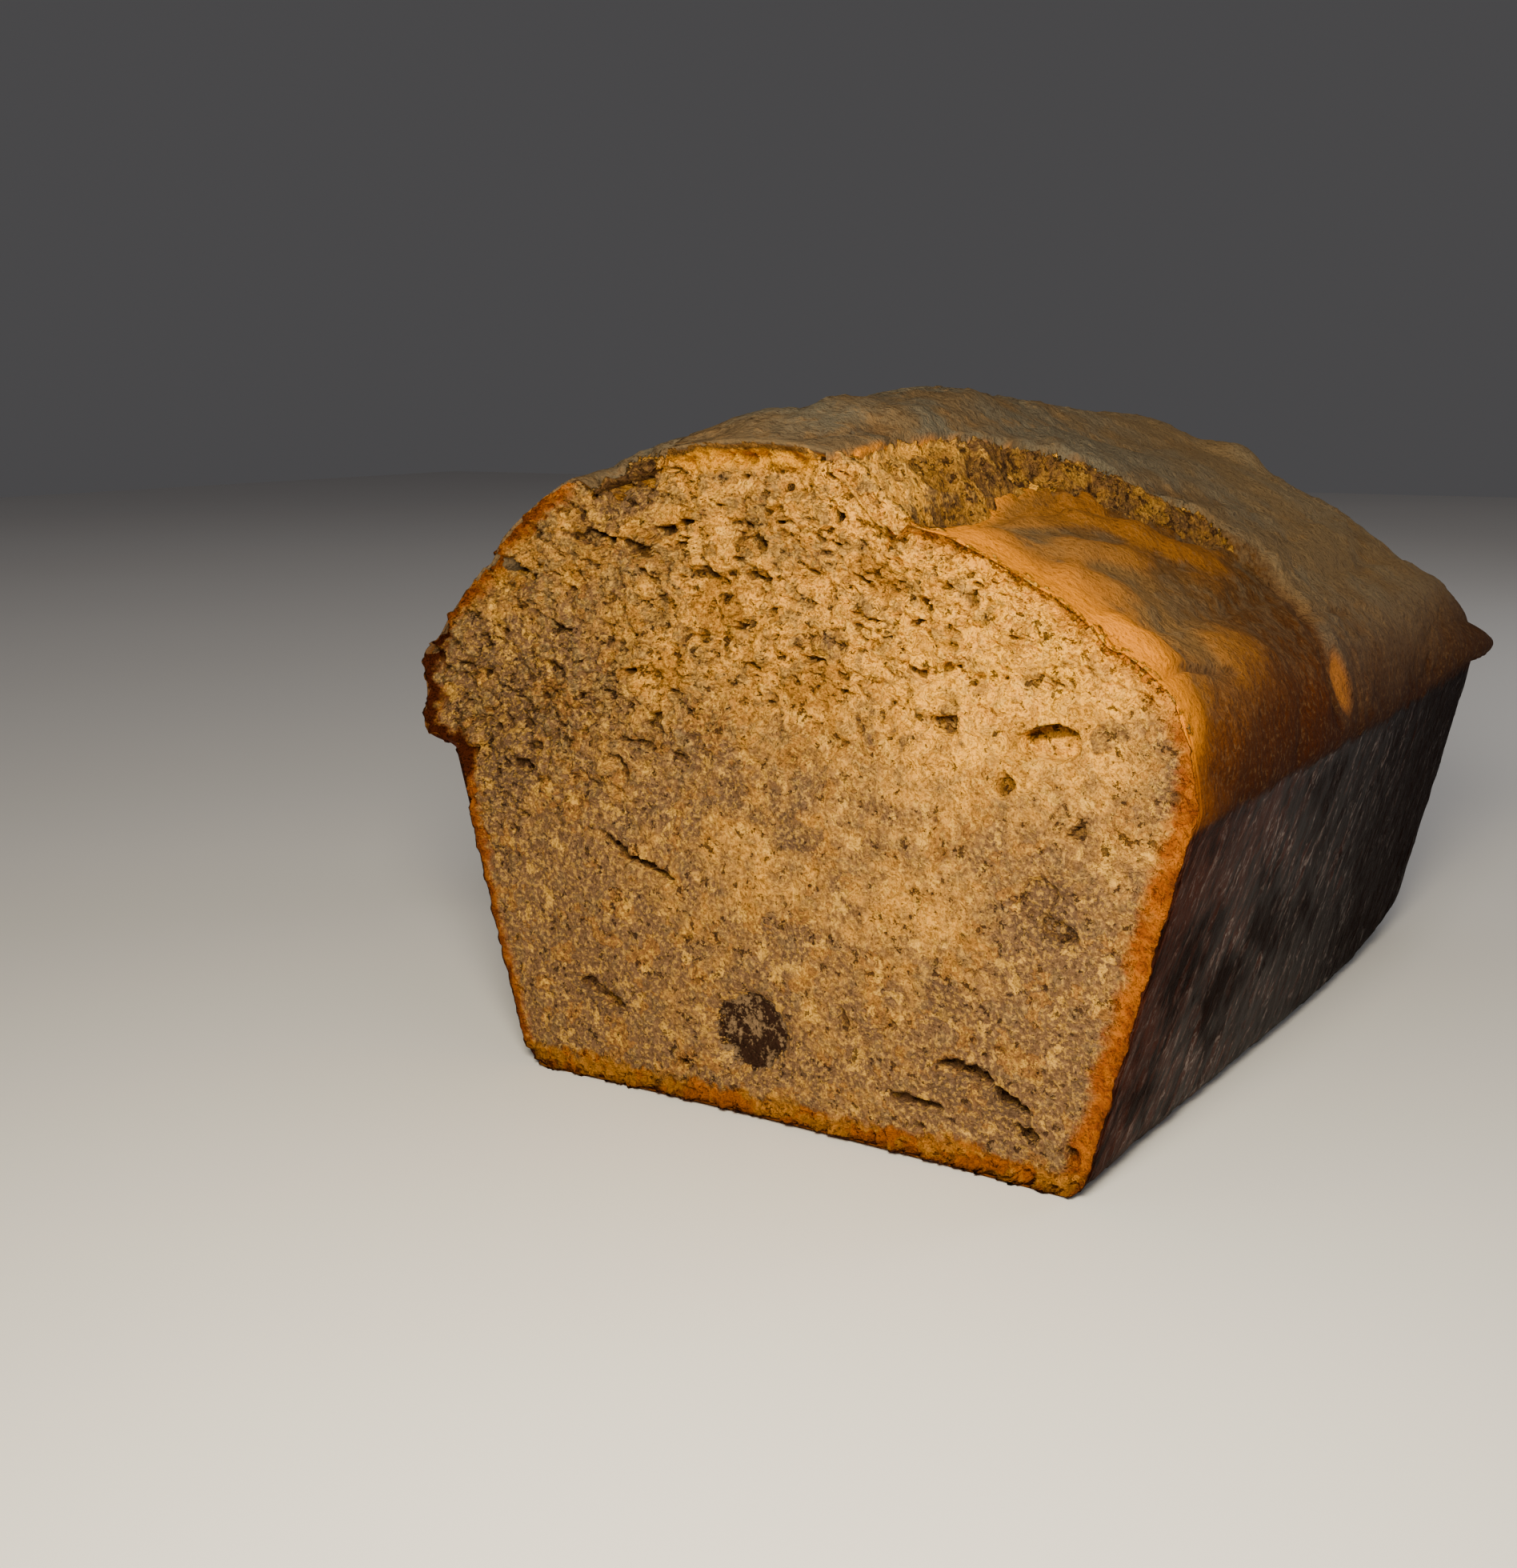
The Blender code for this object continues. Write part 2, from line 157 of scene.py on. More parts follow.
# %% Sizes of the crack
CRACK = metres([(8.5, -4), (9.2, 12), (11, 30), (16.5, 42.5), (24.5, 50.5), (33.5, 61.5), (41, 68),
    (48, 66.5), (54, 60), (64, 55.5)])
CRACK_LIFT = metres([(0, 1.4), (20, 1.4), (40, 1.4), (60, 1.4), (75, 1.1), (110, 0.8)])
CRACK_WIDTH = metres([(0, 9), (35, 9.5), (50, 6.5), (65, 4), (80, 2.6), (110, 2.4)])
CRACK_DIP = metres([(0, 0.8), (15, 2.4), (40, 2.4), (55, 1.2), (70, 0.8), (110, 0.7)])


# %% Curves
def smoothstep(value):
    """Ease from 0 to 1 as value goes from 0 to 1."""
    t = min(max(value, 0.0), 1.0)
    return t * t * (3.0 - 2.0 * t)


def rise(value, start, over):
    """Ease from 0 to 1 as value goes from start over a further length."""
    return smoothstep((value - start) / over)


def fall(value, start, over):
    """Ease from 1 to 0 as value goes from start over a further length."""
    return 1.0 - rise(value, start, over)


def in_ellipse(dx, dy, half_x, half_y, turn):
    """0 in the middle of an ellipse turned by some degrees, 1 on its outline and more outside."""
    cosine, sine = math.cos(math.radians(turn)), math.sin(math.radians(turn))
    across, along = (dx * cosine + dy * sine) / half_x, (dy * cosine - dx * sine) / half_y
    return across * across + along * along


def curve_through(points, position):
    """Value at position of a smooth curve through (position, value) points."""
    last = len(points) - 1
    position = min(max(position, points[0][0]), points[last][0])
    i = 0
    while i < last - 1 and position > points[i + 1][0]:
        i += 1
    (x0, y0), (x1, y1) = points[i], points[i + 1]
    before, after = points[max(i - 1, 0)], points[min(i + 2, last)]
    span = x1 - x0
    slope0 = (y1 - before[1]) / (x1 - before[0]) * span
    slope1 = (after[1] - y0) / (after[0] - x0) * span
    t = (position - x0) / span
    return (y0 * (1 + 2 * t) * (1 - t) ** 2 + slope0 * t * (1 - t) ** 2
            + y1 * t * t * (3 - 2 * t) + slope1 * t * t * (t - 1))


def point_along(points, share):
    """Point at a share, 0 to 1, of a smooth path through points."""
    steps = len(points) - 1
    knots = [i / steps for i in range(steps + 1)]
    return tuple(curve_through(list(zip(knots, axis)), share) for axis in zip(*points))


print("height over the crack's start", round(curve_through(TOP_AT_CUT, CRACK[0][0]), 4))


# %% The crack and the top
def crack_place(x, y):
    """Signed distance to the crack (positive in front of it) and the way along it."""
    nearest, along, travelled = None, 0.0, 0.0
    for (x0, y0), (x1, y1) in zip(CRACK, CRACK[1:]):
        dx, dy = x1 - x0, y1 - y0
        length = math.hypot(dx, dy)
        t = min(max(((x - x0) * dx + (y - y0) * dy) / length ** 2, 0.0), 1.0)
        off_x, off_y = x - (x0 + t * dx), y - (y0 + t * dy)
        distance = math.hypot(off_x, off_y)
        if nearest is None or distance < abs(nearest):
            nearest = math.copysign(distance, dy * off_x - dx * off_y)
            along = travelled + t * length
        travelled += length
    return nearest, along


def rim_at(y):
    """Height of the rim line, which climbs a little to the baked end."""
    return RIM_HEIGHT + RIM_RISE * (y / LENGTH) ** 2


def end_fall(y):
    """1 on most of the dome, falling to 0 where it meets the baked end."""
    t = min(max((y - (LENGTH - END_DOME)) / END_DOME, 0.0), 1.0)
    return math.sqrt(1.0 - t ** 2.4)


@lru_cache(maxsize=None)
def top_height(x, y):
    """Height of the top at a place in plan, with the crack's step and the notch."""
    at_cut = curve_through(TOP_AT_CUT, x)
    crown = curve_through(TOP_AT_CROWN, x)
    share = curve_through(CROWN_ALONG, y)
    distance, along = crack_place(x, y)
    width = curve_through(CRACK_WIDTH, along)
    lift = curve_through(CRACK_LIFT, along) * (1.0 - 0.6 * smoothstep(-distance / 0.03))
    lifted = at_cut + (crown - at_cut) * share + lift
    slope = smoothstep(distance / width)
    dip = curve_through(CRACK_DIP, along) * math.exp(-((distance - width) / (0.5 * width)) ** 2)
    height = lifted + (at_cut - lifted) * slope - dip
    torn = 1.0 - smoothstep((y - 0.6 * NOTCH_LENGTH) / (0.4 * NOTCH_LENGTH))
    left_of_cap = smoothstep((CAP_START - x) / 0.0012) * rise(x, -0.034, 0.004)
    rim = rim_at(y)
    return rim + (height - NOTCH_DEPTH * torn * left_of_cap - rim) * end_fall(y)


# %% The sides
def foot_inset(z, y):
    """How far the rounding of the underside's edges draws a wall in at height z."""
    radius = FOOT_RADIUS + (END_FOOT_RADIUS - FOOT_RADIUS) * smoothstep((y - 0.75 * LENGTH) / (0.2 * LENGTH))
    under = max(radius - z, 0.0)
    return 0.8 * (radius - math.sqrt(radius ** 2 - under ** 2))


@lru_cache(maxsize=None)
def side_point(side, share, y):
    """Point of the left (-1) or right (1) side at a share, 0 to 1, of its height."""
    shoulder = SHOULDER_RIGHT if side > 0 else SHOULDER_LEFT
    rim_shift = rim_at(y) - RIM_HEIGHT
    if share <= WALL_SHARE:
        foot = Vector((FOOT_HALF + FOOT_SPREAD * smoothstep(y / (0.7 * LENGTH)), 0.0))
        out, up = foot.lerp(Vector((shoulder[0][0], shoulder[0][1] + rim_shift)), share / WALL_SHARE)
        return side * (out - foot_inset(up, y)), up
    t = (share - WALL_SHARE) / (1.0 - WALL_SHARE)
    out, up = point_along(shoulder, t)
    overhang = max(out - RIM_HALF, 0.0)
    keep = 1.0 - (1.0 - LEFT_LIP_LEAST) * smoothstep(y / (0.7 * LENGTH))
    corner_lip = END_LIP * smoothstep((y - 0.72 * LENGTH) / (0.2 * LENGTH))
    out += corner_lip * math.sin(math.pi * min(0.12 + t * 2.4, 1.0)) - overhang * (1.0 - keep)
    up = shoulder[0][1] + rim_shift + (up - shoulder[0][1]) * (0.06 + 0.94 * end_fall(y))
    return side * out, up


def section_point(across, up_share, y):
    """Point of the section at y for shares across and up, filled between its four edges."""
    left_x, left_z = side_point(-1, up_share, y)
    right_x, right_z = side_point(1, up_share, y)
    from_side = smoothstep(min(across, 1.0 - across) / 0.04)
    over_chord = 0.0
    if from_side > 0.0 and up_share > 0.0:
        left_top, right_top = side_point(-1, 1.0, y), side_point(1, 1.0, y)
        chord = left_top[1] + (right_top[1] - left_top[1]) * across
        top_x = left_top[0] + (right_top[0] - left_top[0]) * across
        over_chord = (top_height(top_x, y) - chord) * from_side
    z = left_z + (right_z - left_z) * across + up_share * over_chord
    return left_x + (right_x - left_x) * across, z


def taper_end(x, y, z):
    """Lean the baked end in towards the foot and round its upright corners."""
    below_rim = max(rim_at(y) - z, 0.0)
    end_in = END_SLOPE * below_rim
    y -= end_in * y / LENGTH + foot_inset(z, y) * (y / LENGTH) ** 3
    radius = CORNER_AT_RIM + (CORNER_AT_FOOT - CORNER_AT_RIM) * below_rim / RIM_HEIGHT
    into_corner = min(max(y - (LENGTH - end_in - foot_inset(z, LENGTH) - radius), 0.0), radius)
    inset = radius - math.sqrt(radius ** 2 - into_corner ** 2)
    return Vector((x * (1.0 - 0.9 * inset / (RIM_HALF - WALL_SLOPE * below_rim)), y, max(z, 0.0)))


print("section corner at mid length", [round(v, 4) for v in section_point(1.0, 1.0, LENGTH / 2)])

# %% [markdown]
# ## The crust
# The crust is the loaf's baked skin: matt and rippled on the dome, dark and shiny where
# it touched the tin. It starts as a cube whose faces are subdivided and moved onto the
# form. Its front is pushed in behind a thin rim, like a shallow tray, for the crumb to
# sit in. Folds, wrinkles and the bare split are then raised along the normals.

# %% Sizes of the crust
STEPS_ACROSS, STEPS_ALONG, STEPS_UP = 124, 224, 84
END_STEPS_SHARE, END_CURVE = 0.30, 0.034
RIM_BACK, RIM_SLANT = 0.0012, 0.0030    # how far its rim and the step inside lie behind the cut
RIM_UNDER = 0.0003                      # how far the rim is tucked under the crumb's edge
CRUMB_DEPTH = 0.0120                    # how deep the recess for the crumb is
ARCH, ARCH_REACH, ARCH_HEIGHT = 0.0008, 0.0040, 0.0080
BARE_WIDTH = metres([(0, 8.8), (22, 8.6), (32, 6.4), (42, 3.8), (52, 2.4), (66, 1.4), (85, 0.8)])
BARE_LENGTH, CRACK_SUNK = 0.074, 0.0024
BULGES = metres([  # soft lobes of the skin: x, y, half width, half length, turn in degrees, height
    (27, 42, 4, 7.5, -32, 1.1), (22.5, 30, 3.6, 8.5, -6, 0.9), (24, 10, 4, 7, 10, 0.6),
    (33, 26, 3.5, 8, -20, 0.8), (38.5, 14, 3.4, 6, -24, 0.7), (47, 6, 5, 5, 0, 0.9),
    (36, 48, 4, 9, -38, 0.8), (18, 124, 5, 5, 0, 1.8), (52, 30, 5, 10, 0, 0.6), (-1, 21, 5, 6, 0, 0.8),
    (7, 27, 3, 7, 0, 0.7), (-12, 13, 6, 5, 0, 0.6)], plain=(4,))
CREASES = [  # fine folds and small cracks: points, half width, depth
    (metres([(51.9, 0.5, 66.8), (51.5, 10, 67.2), (53.3, 22, 64.8)]), 0.0006, 0.0009),
    (metres([(30, 33, 82), (34.5, 25, 79), (38, 20, 77)]), 0.0009, 0.0006),
    (metres([(28, 50, 84), (33, 42, 80), (36, 33, 78)]), 0.0009, 0.0006),
    (metres([(6, 15, 96), (7.5, 30, 97.5), (6, 45, 98.5)]), 0.0007, 0.0007),
    (metres([(-6, 12, 96), (-4, 30, 98.5), (-8, 52, 100)]), 0.0007, 0.0007),
]
SPLIT_AT, SPLIT_SIZE, SPLIT_DEPTH = (0.0570, 0.0615, 0.0588), (0.0019, 0.0044), 0.0010
FOLD_BULGE, FOLD_GROOVE = 0.0007, 0.0009
FINE_RIPPLE, BROAD_RIPPLE, STEPPED_FOLD, PILLOW = 0.00014, 0.00050, 0.0021, 0.0013
WRINKLE, STREAK = 0.00020, 0.00024
BULGE_GAIN = 1.4                        # the lobes stand this much higher than their table says
RELIEF_STARTS = 0.007                   # behind the cut, over which the relief grows to its full height
FULL_EDGE, CRACK_TORN = 9.0, 0.6        # masks of crumb that lies far from the skin's edge


def station(share):
    """Distance from the cut face for a share of the steps along, closer at the baked end."""
    straight = 1.0 - END_STEPS_SHARE
    curve_start = LENGTH - END_CURVE
    if share <= straight:
        return curve_start * share / straight
    return curve_start + END_CURVE * math.sin((share - straight) / END_STEPS_SHARE * math.pi / 2)


# %% Relief of the crust
def terraced(value, steps):
    """A value from 0 to 1 brought onto level steps with short steep sides."""
    whole = math.floor(value * steps)
    return (whole + smoothstep((value * steps - whole) / 0.35)) / steps


def ripples(point, on_top):
    """Height of the baked top: stepped folds on the lifted half, soft pillows on the right lobe."""
    distance = crack_place(point.x, point.y)[0]
    lobe = smoothstep(distance / 0.006)
    calm = 1.0 - 0.35 * rise(point.y, 0.080, 0.050)
    fine = noise.fractal(point * 640, 0.7, 2.0, 3)
    broad = noise.noise(Vector((point.x * 70, point.y * 45, point.z * 70)))
    height = FINE_RIPPLE * fine + BROAD_RIPPLE * calm * broad
    if lobe < 1.0:
        way = Vector((point.x * 130, point.y * 36, point.z * 60))
        way += 0.8 * noise.noise_vector(way * 0.7)
        folds = 0.5 + 0.5 * noise.fractal(way, 0.8, 2.1, 4)
        height += (1.0 - lobe) * calm * STEPPED_FOLD * (terraced(folds, 4) - 0.5)
    if lobe > 0.0:
        way = Vector((point.x * 95, point.y * 62, point.z * 80))
        way += 0.6 * noise.noise_vector(way * 0.8)
        large, small = (math.sqrt(noise.noise(way * size) ** 2 + 0.002) for size in (1.0, 2.2))
        height += lobe * calm * PILLOW * (large + 0.45 * small - 0.25)
    return on_top * height


def wrinkles(point, on_wall):
    """Height of the fine slanting wrinkles of the tin's side."""
    along = point.y if abs(point.x) > 0.75 * RIM_HALF else point.x
    lean = along - 0.35 * point.z
    way = Vector((lean * 640, point.z * 150, math.copysign(7.0, point.x)))
    way += 1.5 * noise.noise_vector(Vector((lean * 190, point.z * 120, 3.0)))
    fine = noise.fractal(way, 0.8, 2.0, 3)
    streak = noise.noise(Vector((lean * 210, point.z * 50, 11.0)))
    return on_wall * (WRINKLE * fine + STREAK * streak)


def split_here(point):
    """1 in the bare split on the right shoulder, 0 away from it."""
    along = (point.y - SPLIT_AT[1]) / SPLIT_SIZE[0]
    up = (point.z - SPLIT_AT[2]) / SPLIT_SIZE[1]
    near = fall(along * along + up * up, 0.3, 1.2)
    return near * rise(point.x, 0.045, 0.008)


def fold(point):
    """Height of the fold that goes on from the crack over the right shoulder."""
    distance = crack_place(point.x, point.y)[0]
    here = rise(point.x, 0.034, 0.010) * rise(point.z - RIM_HEIGHT, -0.001, 0.006)
    groove = math.exp(-((distance - 0.0010) / 0.0018) ** 2)
    ridge = smoothstep((0.0008 - distance) / 0.0036) * fall(-distance, 0.002, 0.010)
    return here * (FOLD_BULGE * ridge - FOLD_GROOVE * groove)


def to_path(point, path):
    """Distance from a point to a path of points."""
    nearest = 1.0
    for start, end in zip(path, path[1:]):
        start, end = Vector(start), Vector(end)
        t = min(max((point - start).dot(end - start) / (end - start).length_squared, 0.0), 1.0)
        nearest = min(nearest, (point - start.lerp(end, t)).length)
    return nearest


def bulges(point):
    """Height of the soft lobes and depth of the fine creases of the dome."""
    lump = 0.0
    for x, y, half_x, half_y, turn, height in BULGES:
        dx, dy = point.x - x, point.y - y
        if abs(dx) + abs(dy) < 0.03:
            lump += BULGE_GAIN * height * math.exp(-in_ellipse(dx, dy, half_x, half_y, turn) ** 1.4)
    for path, half_width, depth in CREASES:
        lump -= depth * math.exp(-(to_path(point, path) / half_width) ** 2)
    return lump


# %% Mesh helpers
def unit_grid(mesh, steps):
    """A cube from -1 to 1 whose edges along x, y and z are cut into the given steps."""
    bmesh.ops.create_cube(mesh, size=2.0)
    for axis, count in enumerate(steps):
        edges = [edge for edge in mesh.edges
                 if abs(edge.verts[0].co[axis] - edge.verts[1].co[axis]) > 1e-6]
        if count > 1:
            bmesh.ops.subdivide_edges(mesh, edges=edges, cuts=count - 1, use_grid_fill=True)


def add_piece(mesh, name, material):
    """Put a bmesh into the frame as a smooth-shaded piece that stands for the loaf."""
    bmesh.ops.translate(mesh, verts=mesh.verts, vec=TO_FRAME)
    for face in mesh.faces:
        face.smooth = len(face.verts) < 9
    data = bpy.data.meshes.new(name)
    mesh.to_mesh(data)
    mesh.free()
    piece = new_object(name, data)
    data.materials.append(material)
    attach(piece, "root")
    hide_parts("loaf")
    data.calc_loop_triangles()
    print(name, len(data.loop_triangles), "triangles")


def mask_layers(mesh, names):
    """A layer of numbers on a mesh for each name."""
    return {name: mesh.verts.layers.float.new(name) for name in names}


def mark(vert, layers, masks):
    """Write masks on a vertex."""
    for name, value in masks.items():
        vert[layers[name]] = value


def outward(vert):
    """Level direction out of a section's outline."""
    return Vector((vert.normal.x, 0, vert.normal.z)).normalized()


def settle(point):
    """The form's point, with the small arch that lifts the middle of the cut edge off the ground."""
    lift = max(1.0 - (point.x / FOOT_HALF) ** 2, 0.0) * math.exp(-point.y / ARCH_REACH)
    return point + Vector((0, 0, ARCH * lift * max(1.0 - point.z / ARCH_HEIGHT, 0.0)))


def onto_form(mesh, along):
    """Move a unit grid's points onto the loaf; along turns a share of the depth into metres."""
    for vert in mesh.verts:
        y = along((vert.co.y + 1) / 2)
        x, z = section_point((vert.co.x + 1) / 2, (vert.co.z + 1) / 2, y)
        vert.co = settle(taper_end(x, y, z))
    mesh.normal_update()


# %% Crust mesh
def in_crack_at(point):
    """1 where the crack lays the crumb bare, 0 on the skin, with a ragged border."""
    distance, along = crack_place(point.x, point.y)
    ragged = 0.0011 * noise.noise(point * 420) + 0.0008 * noise.noise(point * 1100)
    lip = smoothstep((distance + 0.0012 + ragged) / 0.0009)
    floor = 1.0 - smoothstep((distance + ragged - curve_through(BARE_WIDTH, along)) / 0.0012)
    ends = fall(along + 2 * ragged, BARE_LENGTH, 0.008)
    return lip * floor * ends * smoothstep((LENGTH - point.y) / 0.05)


SKIN_MASKS = ("wall", "cap", "gold", "height", "split", "bare")
CRUMB_MASKS = ("fruit", "grey", "tan", "deep", "edge", "burnt", "torn", "young", "lid")


def skin_at(point):
    """The skin at a place: how far it is raised, and its masks."""
    over_rim = point.z - rim_at(point.y)
    on_top = rise(over_rim, -0.0050, 0.0065)
    split, notch = split_here(point), in_notch(point)
    bare = max(in_crack_at(point) * on_top, notch)
    distance, along = crack_place(point.x, point.y)
    folds = ripples(point, on_top) + fold(point) + on_top * bulges(point)
    lump = (folds * (1 - bare) + wrinkles(point, 1.0 - on_top)) * smoothstep(point.y / RELIEF_STARTS)
    past_floor = distance - curve_through(BARE_WIDTH, along)
    lip = math.exp(-abs(distance) / 0.0007) if distance < 0 else 0.8 * math.exp(-abs(past_floor) / 0.0020)
    near_lip = lip * fall(along, 0.035, 0.02)
    on_lobe = smoothstep(distance / 0.004)
    near_cut = math.exp(-(point.y / (0.0008 + 0.0066 * on_lobe)) ** 1.5) * (0.15 + 0.85 * on_lobe)
    near_cut *= 0.2 + 0.8 * rise(over_rim, 0.003, 0.012)
    in_front = 1.0 - smoothstep((point.y - 0.0008 + 0.0016 * noise.noise(point * 360)) / 0.0036)
    crumbly = 0.44 * in_front * on_lobe * rise(over_rim, 0.002, 0.010)
    masks = {"wall": 1.0 - on_top, "cap": smoothstep(-distance / 0.002 + 0.5) * on_top,
             "gold": max(near_cut, near_lip) * on_top, "height": lump / 0.001, "split": split,
             "bare": max(bare, crumbly)}
    torn = 0.0012 * (noise.fractal(point * 420, 0.7, 2.0, 3) - 0.4)
    return lump - SPLIT_DEPTH * split + (torn * notch - CRACK_SUNK * bare * (1.0 - notch)), masks


def in_notch(point):
    """1 in the torn notch to the left of the lifted half, where the skin is missing."""
    ragged = 0.0020 * noise.noise(point * 330)
    beside = smoothstep((CAP_START - point.x + ragged) / 0.0012)
    beside *= smoothstep((point.x + 0.032 + ragged) / 0.002)
    return beside * (1.0 - smoothstep((point.y - 0.009 + ragged) / 0.003)) * (point.z > 0.06)


def crust_mesh():
    """The whole skin, pushed in behind a thin rim at the cut, with its masks written on it."""
    mesh = bmesh.new()
    unit_grid(mesh, (STEPS_ACROSS, STEPS_ALONG, STEPS_UP))
    layers = mask_layers(mesh, CRUMB_MASKS + SKIN_MASKS)
    base = {vert for vert in mesh.verts if vert.co.z < -0.999}
    rings = {vert: min((1 - abs(vert.co.x)) / 2 * STEPS_ACROSS, (1 - abs(vert.co.z)) / 2 * STEPS_UP)
             for vert in mesh.verts if vert.co.y < -0.999}
    onto_form(mesh, station)
    skin = [(vert, vert.normal.copy(), 0.0) for vert in mesh.verts if vert not in base and vert not in rings]
    for vert, ring in rings.items():
        if ring < 0.5:
            in_crack = rise(vert.co.x, 0.006, 0.003) * fall(vert.co.x, 0.016, 0.003)
            wander = 1.0 + 0.5 * noise.noise(vert.co * 300)
            vert.co.y += RIM_BACK * wander + 0.004 * in_crack * (vert.co.z > CRACK_ABOVE)
            skin.append((vert, outward(vert), RIM_UNDER))
    for vert, normal, under in skin:
        point = vert.co.copy()
        raised, masks = skin_at(point)
        vert.co += normal * (raised - under)
        if vert.co.z < 0.0004:
            vert.co.z = point.z
        mark(vert, layers, masks)
    for vert in mesh.verts:
        notch = in_notch(vert.co)
        # The torn notch is painted grey, and darker as painted shade in its recess.
        mark(vert, layers, {"edge": FULL_EDGE, "torn": CRACK_TORN, "grey": notch, "deep": 0.9 * notch})
    for vert, ring in rings.items():
        if ring > 0.5:
            in_crack = in_crack_at(Vector((vert.co.x, 0.0, 0.09))) * (vert.co.z > CRACK_ABOVE)
            vert.co.z -= (CRACK_SUNK + 0.0006) * in_crack
            vert.co.y += RIM_SLANT if ring < 1.5 else CRUMB_DEPTH
            vert[layers["bare"]] = 1.0
    flat_base = [face for face in mesh.faces
                 if all(vert in base and vert.co.y > ARCH_REACH * 6 for vert in face.verts)]
    flat_floor = [face for face in mesh.faces if all(rings.get(vert, 0) > 1.5 for vert in face.verts)]
    for flat in (flat_base, flat_floor):
        bmesh.ops.dissolve_faces(mesh, faces=flat)
    return mesh


# %% [markdown]
# ## Finishes
# A material is easier to read when its arithmetic is written as arithmetic. A small
# class wraps a socket, so that an expression on it adds the Math nodes, and one method
# makes every other kind of node.

# %% Node helpers
class Wire:
    """A number that runs through a material, with Python's own operators."""

    def __init__(self, finish, socket):
        self.finish, self.socket = finish, socket

    def math(self, operation, *others):
        wires = dict(enumerate((self, *others)))
        return self.finish.node("ShaderNodeMath", {"operation": operation}, wires)

    def __add__(self, other):
        return self.math("ADD", other)

    def __sub__(self, other):
        return self.math("SUBTRACT", other)

    def __rsub__(self, other):
        return self.finish.node("ShaderNodeMath", {"operation": "SUBTRACT"}, {0: other, 1: self})

    def __mul__(self, other):
        return self.math("MULTIPLY", other)

    def __truediv__(self, other):
        return self.math("DIVIDE", other)

    def __pow__(self, other):
        return self.math("POWER", other)

    __radd__, __rmul__ = __add__, __mul__

    def between(self, low, high):
        """0 below low, 1 above high, with an eased way between them."""
        return self.finish.node("ShaderNodeMapRange", {"interpolation_type": "SMOOTHSTEP"},
                                {"Value": self, "From Min": low, "From Max": high})


class Finish:
    """A procedural material: its tree, its shader and one way to make a node."""

    def __init__(self, name):
        self.material = bpy.data.materials.new(name)
        self.material.use_nodes = True
        self.tree = self.material.node_tree
        self.shader = self.tree.nodes["Principled BSDF"]
        self.place = self.node("ShaderNodeTexCoord", output="Object")
        self.x, self.y, self.z = (self.node("ShaderNodeSeparateXYZ", {}, {0: self.place}, output=axis)
                                  for axis in "XYZ")

    def node(self, kind, settings=None, inputs=None, output=0):
        made = self.tree.nodes.new(kind)
        for name, value in (settings or {}).items():
            setattr(made, name, value)
        for name, value in (inputs or {}).items():
            self.feed(made.inputs[name], value)
        return Wire(self, made.outputs[output])

    def feed(self, socket, value):
        if isinstance(value, Wire):
            self.tree.links.new(value.socket, socket)
        else:
            socket.default_value = value

    def mask(self, name):
        return self.node("ShaderNodeAttribute", {"attribute_name": name}, output="Fac")

    def noise(self, scale, detail=3.0, roughness=0.55, place=None):
        return self.node("ShaderNodeTexNoise", {}, {"Vector": place or self.place, "Scale": scale,
                                                    "Detail": detail, "Roughness": roughness}, output="Fac")

    def stretched(self, x, y, z, lean):
        """The place leant along y with height and scaled on each axis, for grain that runs one way."""
        leant = self.node("ShaderNodeCombineXYZ", {}, {0: self.x, 1: self.y + self.z * lean, 2: self.z})
        return self.node("ShaderNodeMapping", {}, {"Vector": leant, "Scale": (x, y, z)})

    def terraced(self, value, steps):
        """A value on level steps with short steep sides, and how near a place is to a step's foot."""
        scaled = value * steps
        part = scaled.math("FRACT")
        return (scaled - part + part.between(0.0, 0.22)) / steps, part

    def shifted(self, amount):
        """The place moved aside, so that a noise of the same scale gives another pattern."""
        return self.node("ShaderNodeVectorMath", {"operation": "ADD"}, {0: self.place, 1: (amount,) * 3})

    def mix(self, factor, first, second):
        """The first colour where the factor is 0, the second where it is 1."""
        return self.node("ShaderNodeMix", {"data_type": "RGBA"}, {0: factor, 6: first, 7: second}, output=2)

    def coats(self, colour, *coats):
        """A colour with further colours laid over it one by one, each by its own amount."""
        for amount, coat in coats:
            colour = self.mix(amount, colour, coat)
        return colour

    def bump(self, height, distance):
        return self.node("ShaderNodeBump", {}, {"Height": height, "Distance": distance, "Strength": 1.0})

    def surface(self, **inputs):
        for name, value in inputs.items():
            self.feed(self.shader.inputs[name.replace("_", " ")], value)


def paint(red, green, blue):
    """A colour from everyday 0 to 255 values, as the linear numbers a shader takes."""
    def linear(value):
        share = value / 255
        return share / 12.92 if share <= 0.04045 else ((share + 0.055) / 1.055) ** 2.4
    return linear(red), linear(green), linear(blue), 1.0


# %% [markdown]
# ### Baked crust
# Sugar browns where the bread was hottest. The tin's side is nearly black and shines
# with fat, with a pale painted sheen along its glints; the dome is a matt grey brown, with
# its creases painted browner as painted shade and the tops of its bulges more golden as
# painted highlight; and thin young skin by the cut and by the crack stays golden. The
# masks on the mesh say which is where, and noise breaks up every border between them.

# %% Crust colours
CAP_BROWN, CAP_GREY = paint(95, 77, 54), paint(90, 82, 67)
CAP_OCHRE, CAP_PALE = paint(120, 91, 56), paint(138, 112, 76)
LOBE_GOLD, LOBE_TAN, LOBE_BROWN = paint(176, 106, 24), paint(112, 84, 48), paint(80, 52, 22)
SHOULDER_ORANGE, SHOULDER_BROWN, GOLD_EDGE = paint(86, 39, 1), paint(46, 18, 3), paint(206, 124, 0)
WALL_BLACK, WALL_BROWN, SPLIT_ORANGE = paint(22, 7, 3), paint(60, 26, 14), paint(134, 82, 36)
# A pale colour laid along the tin side's glints as painted sheen, a painted highlight.
WALL_PAINTED_SHEEN = paint(146, 124, 112)


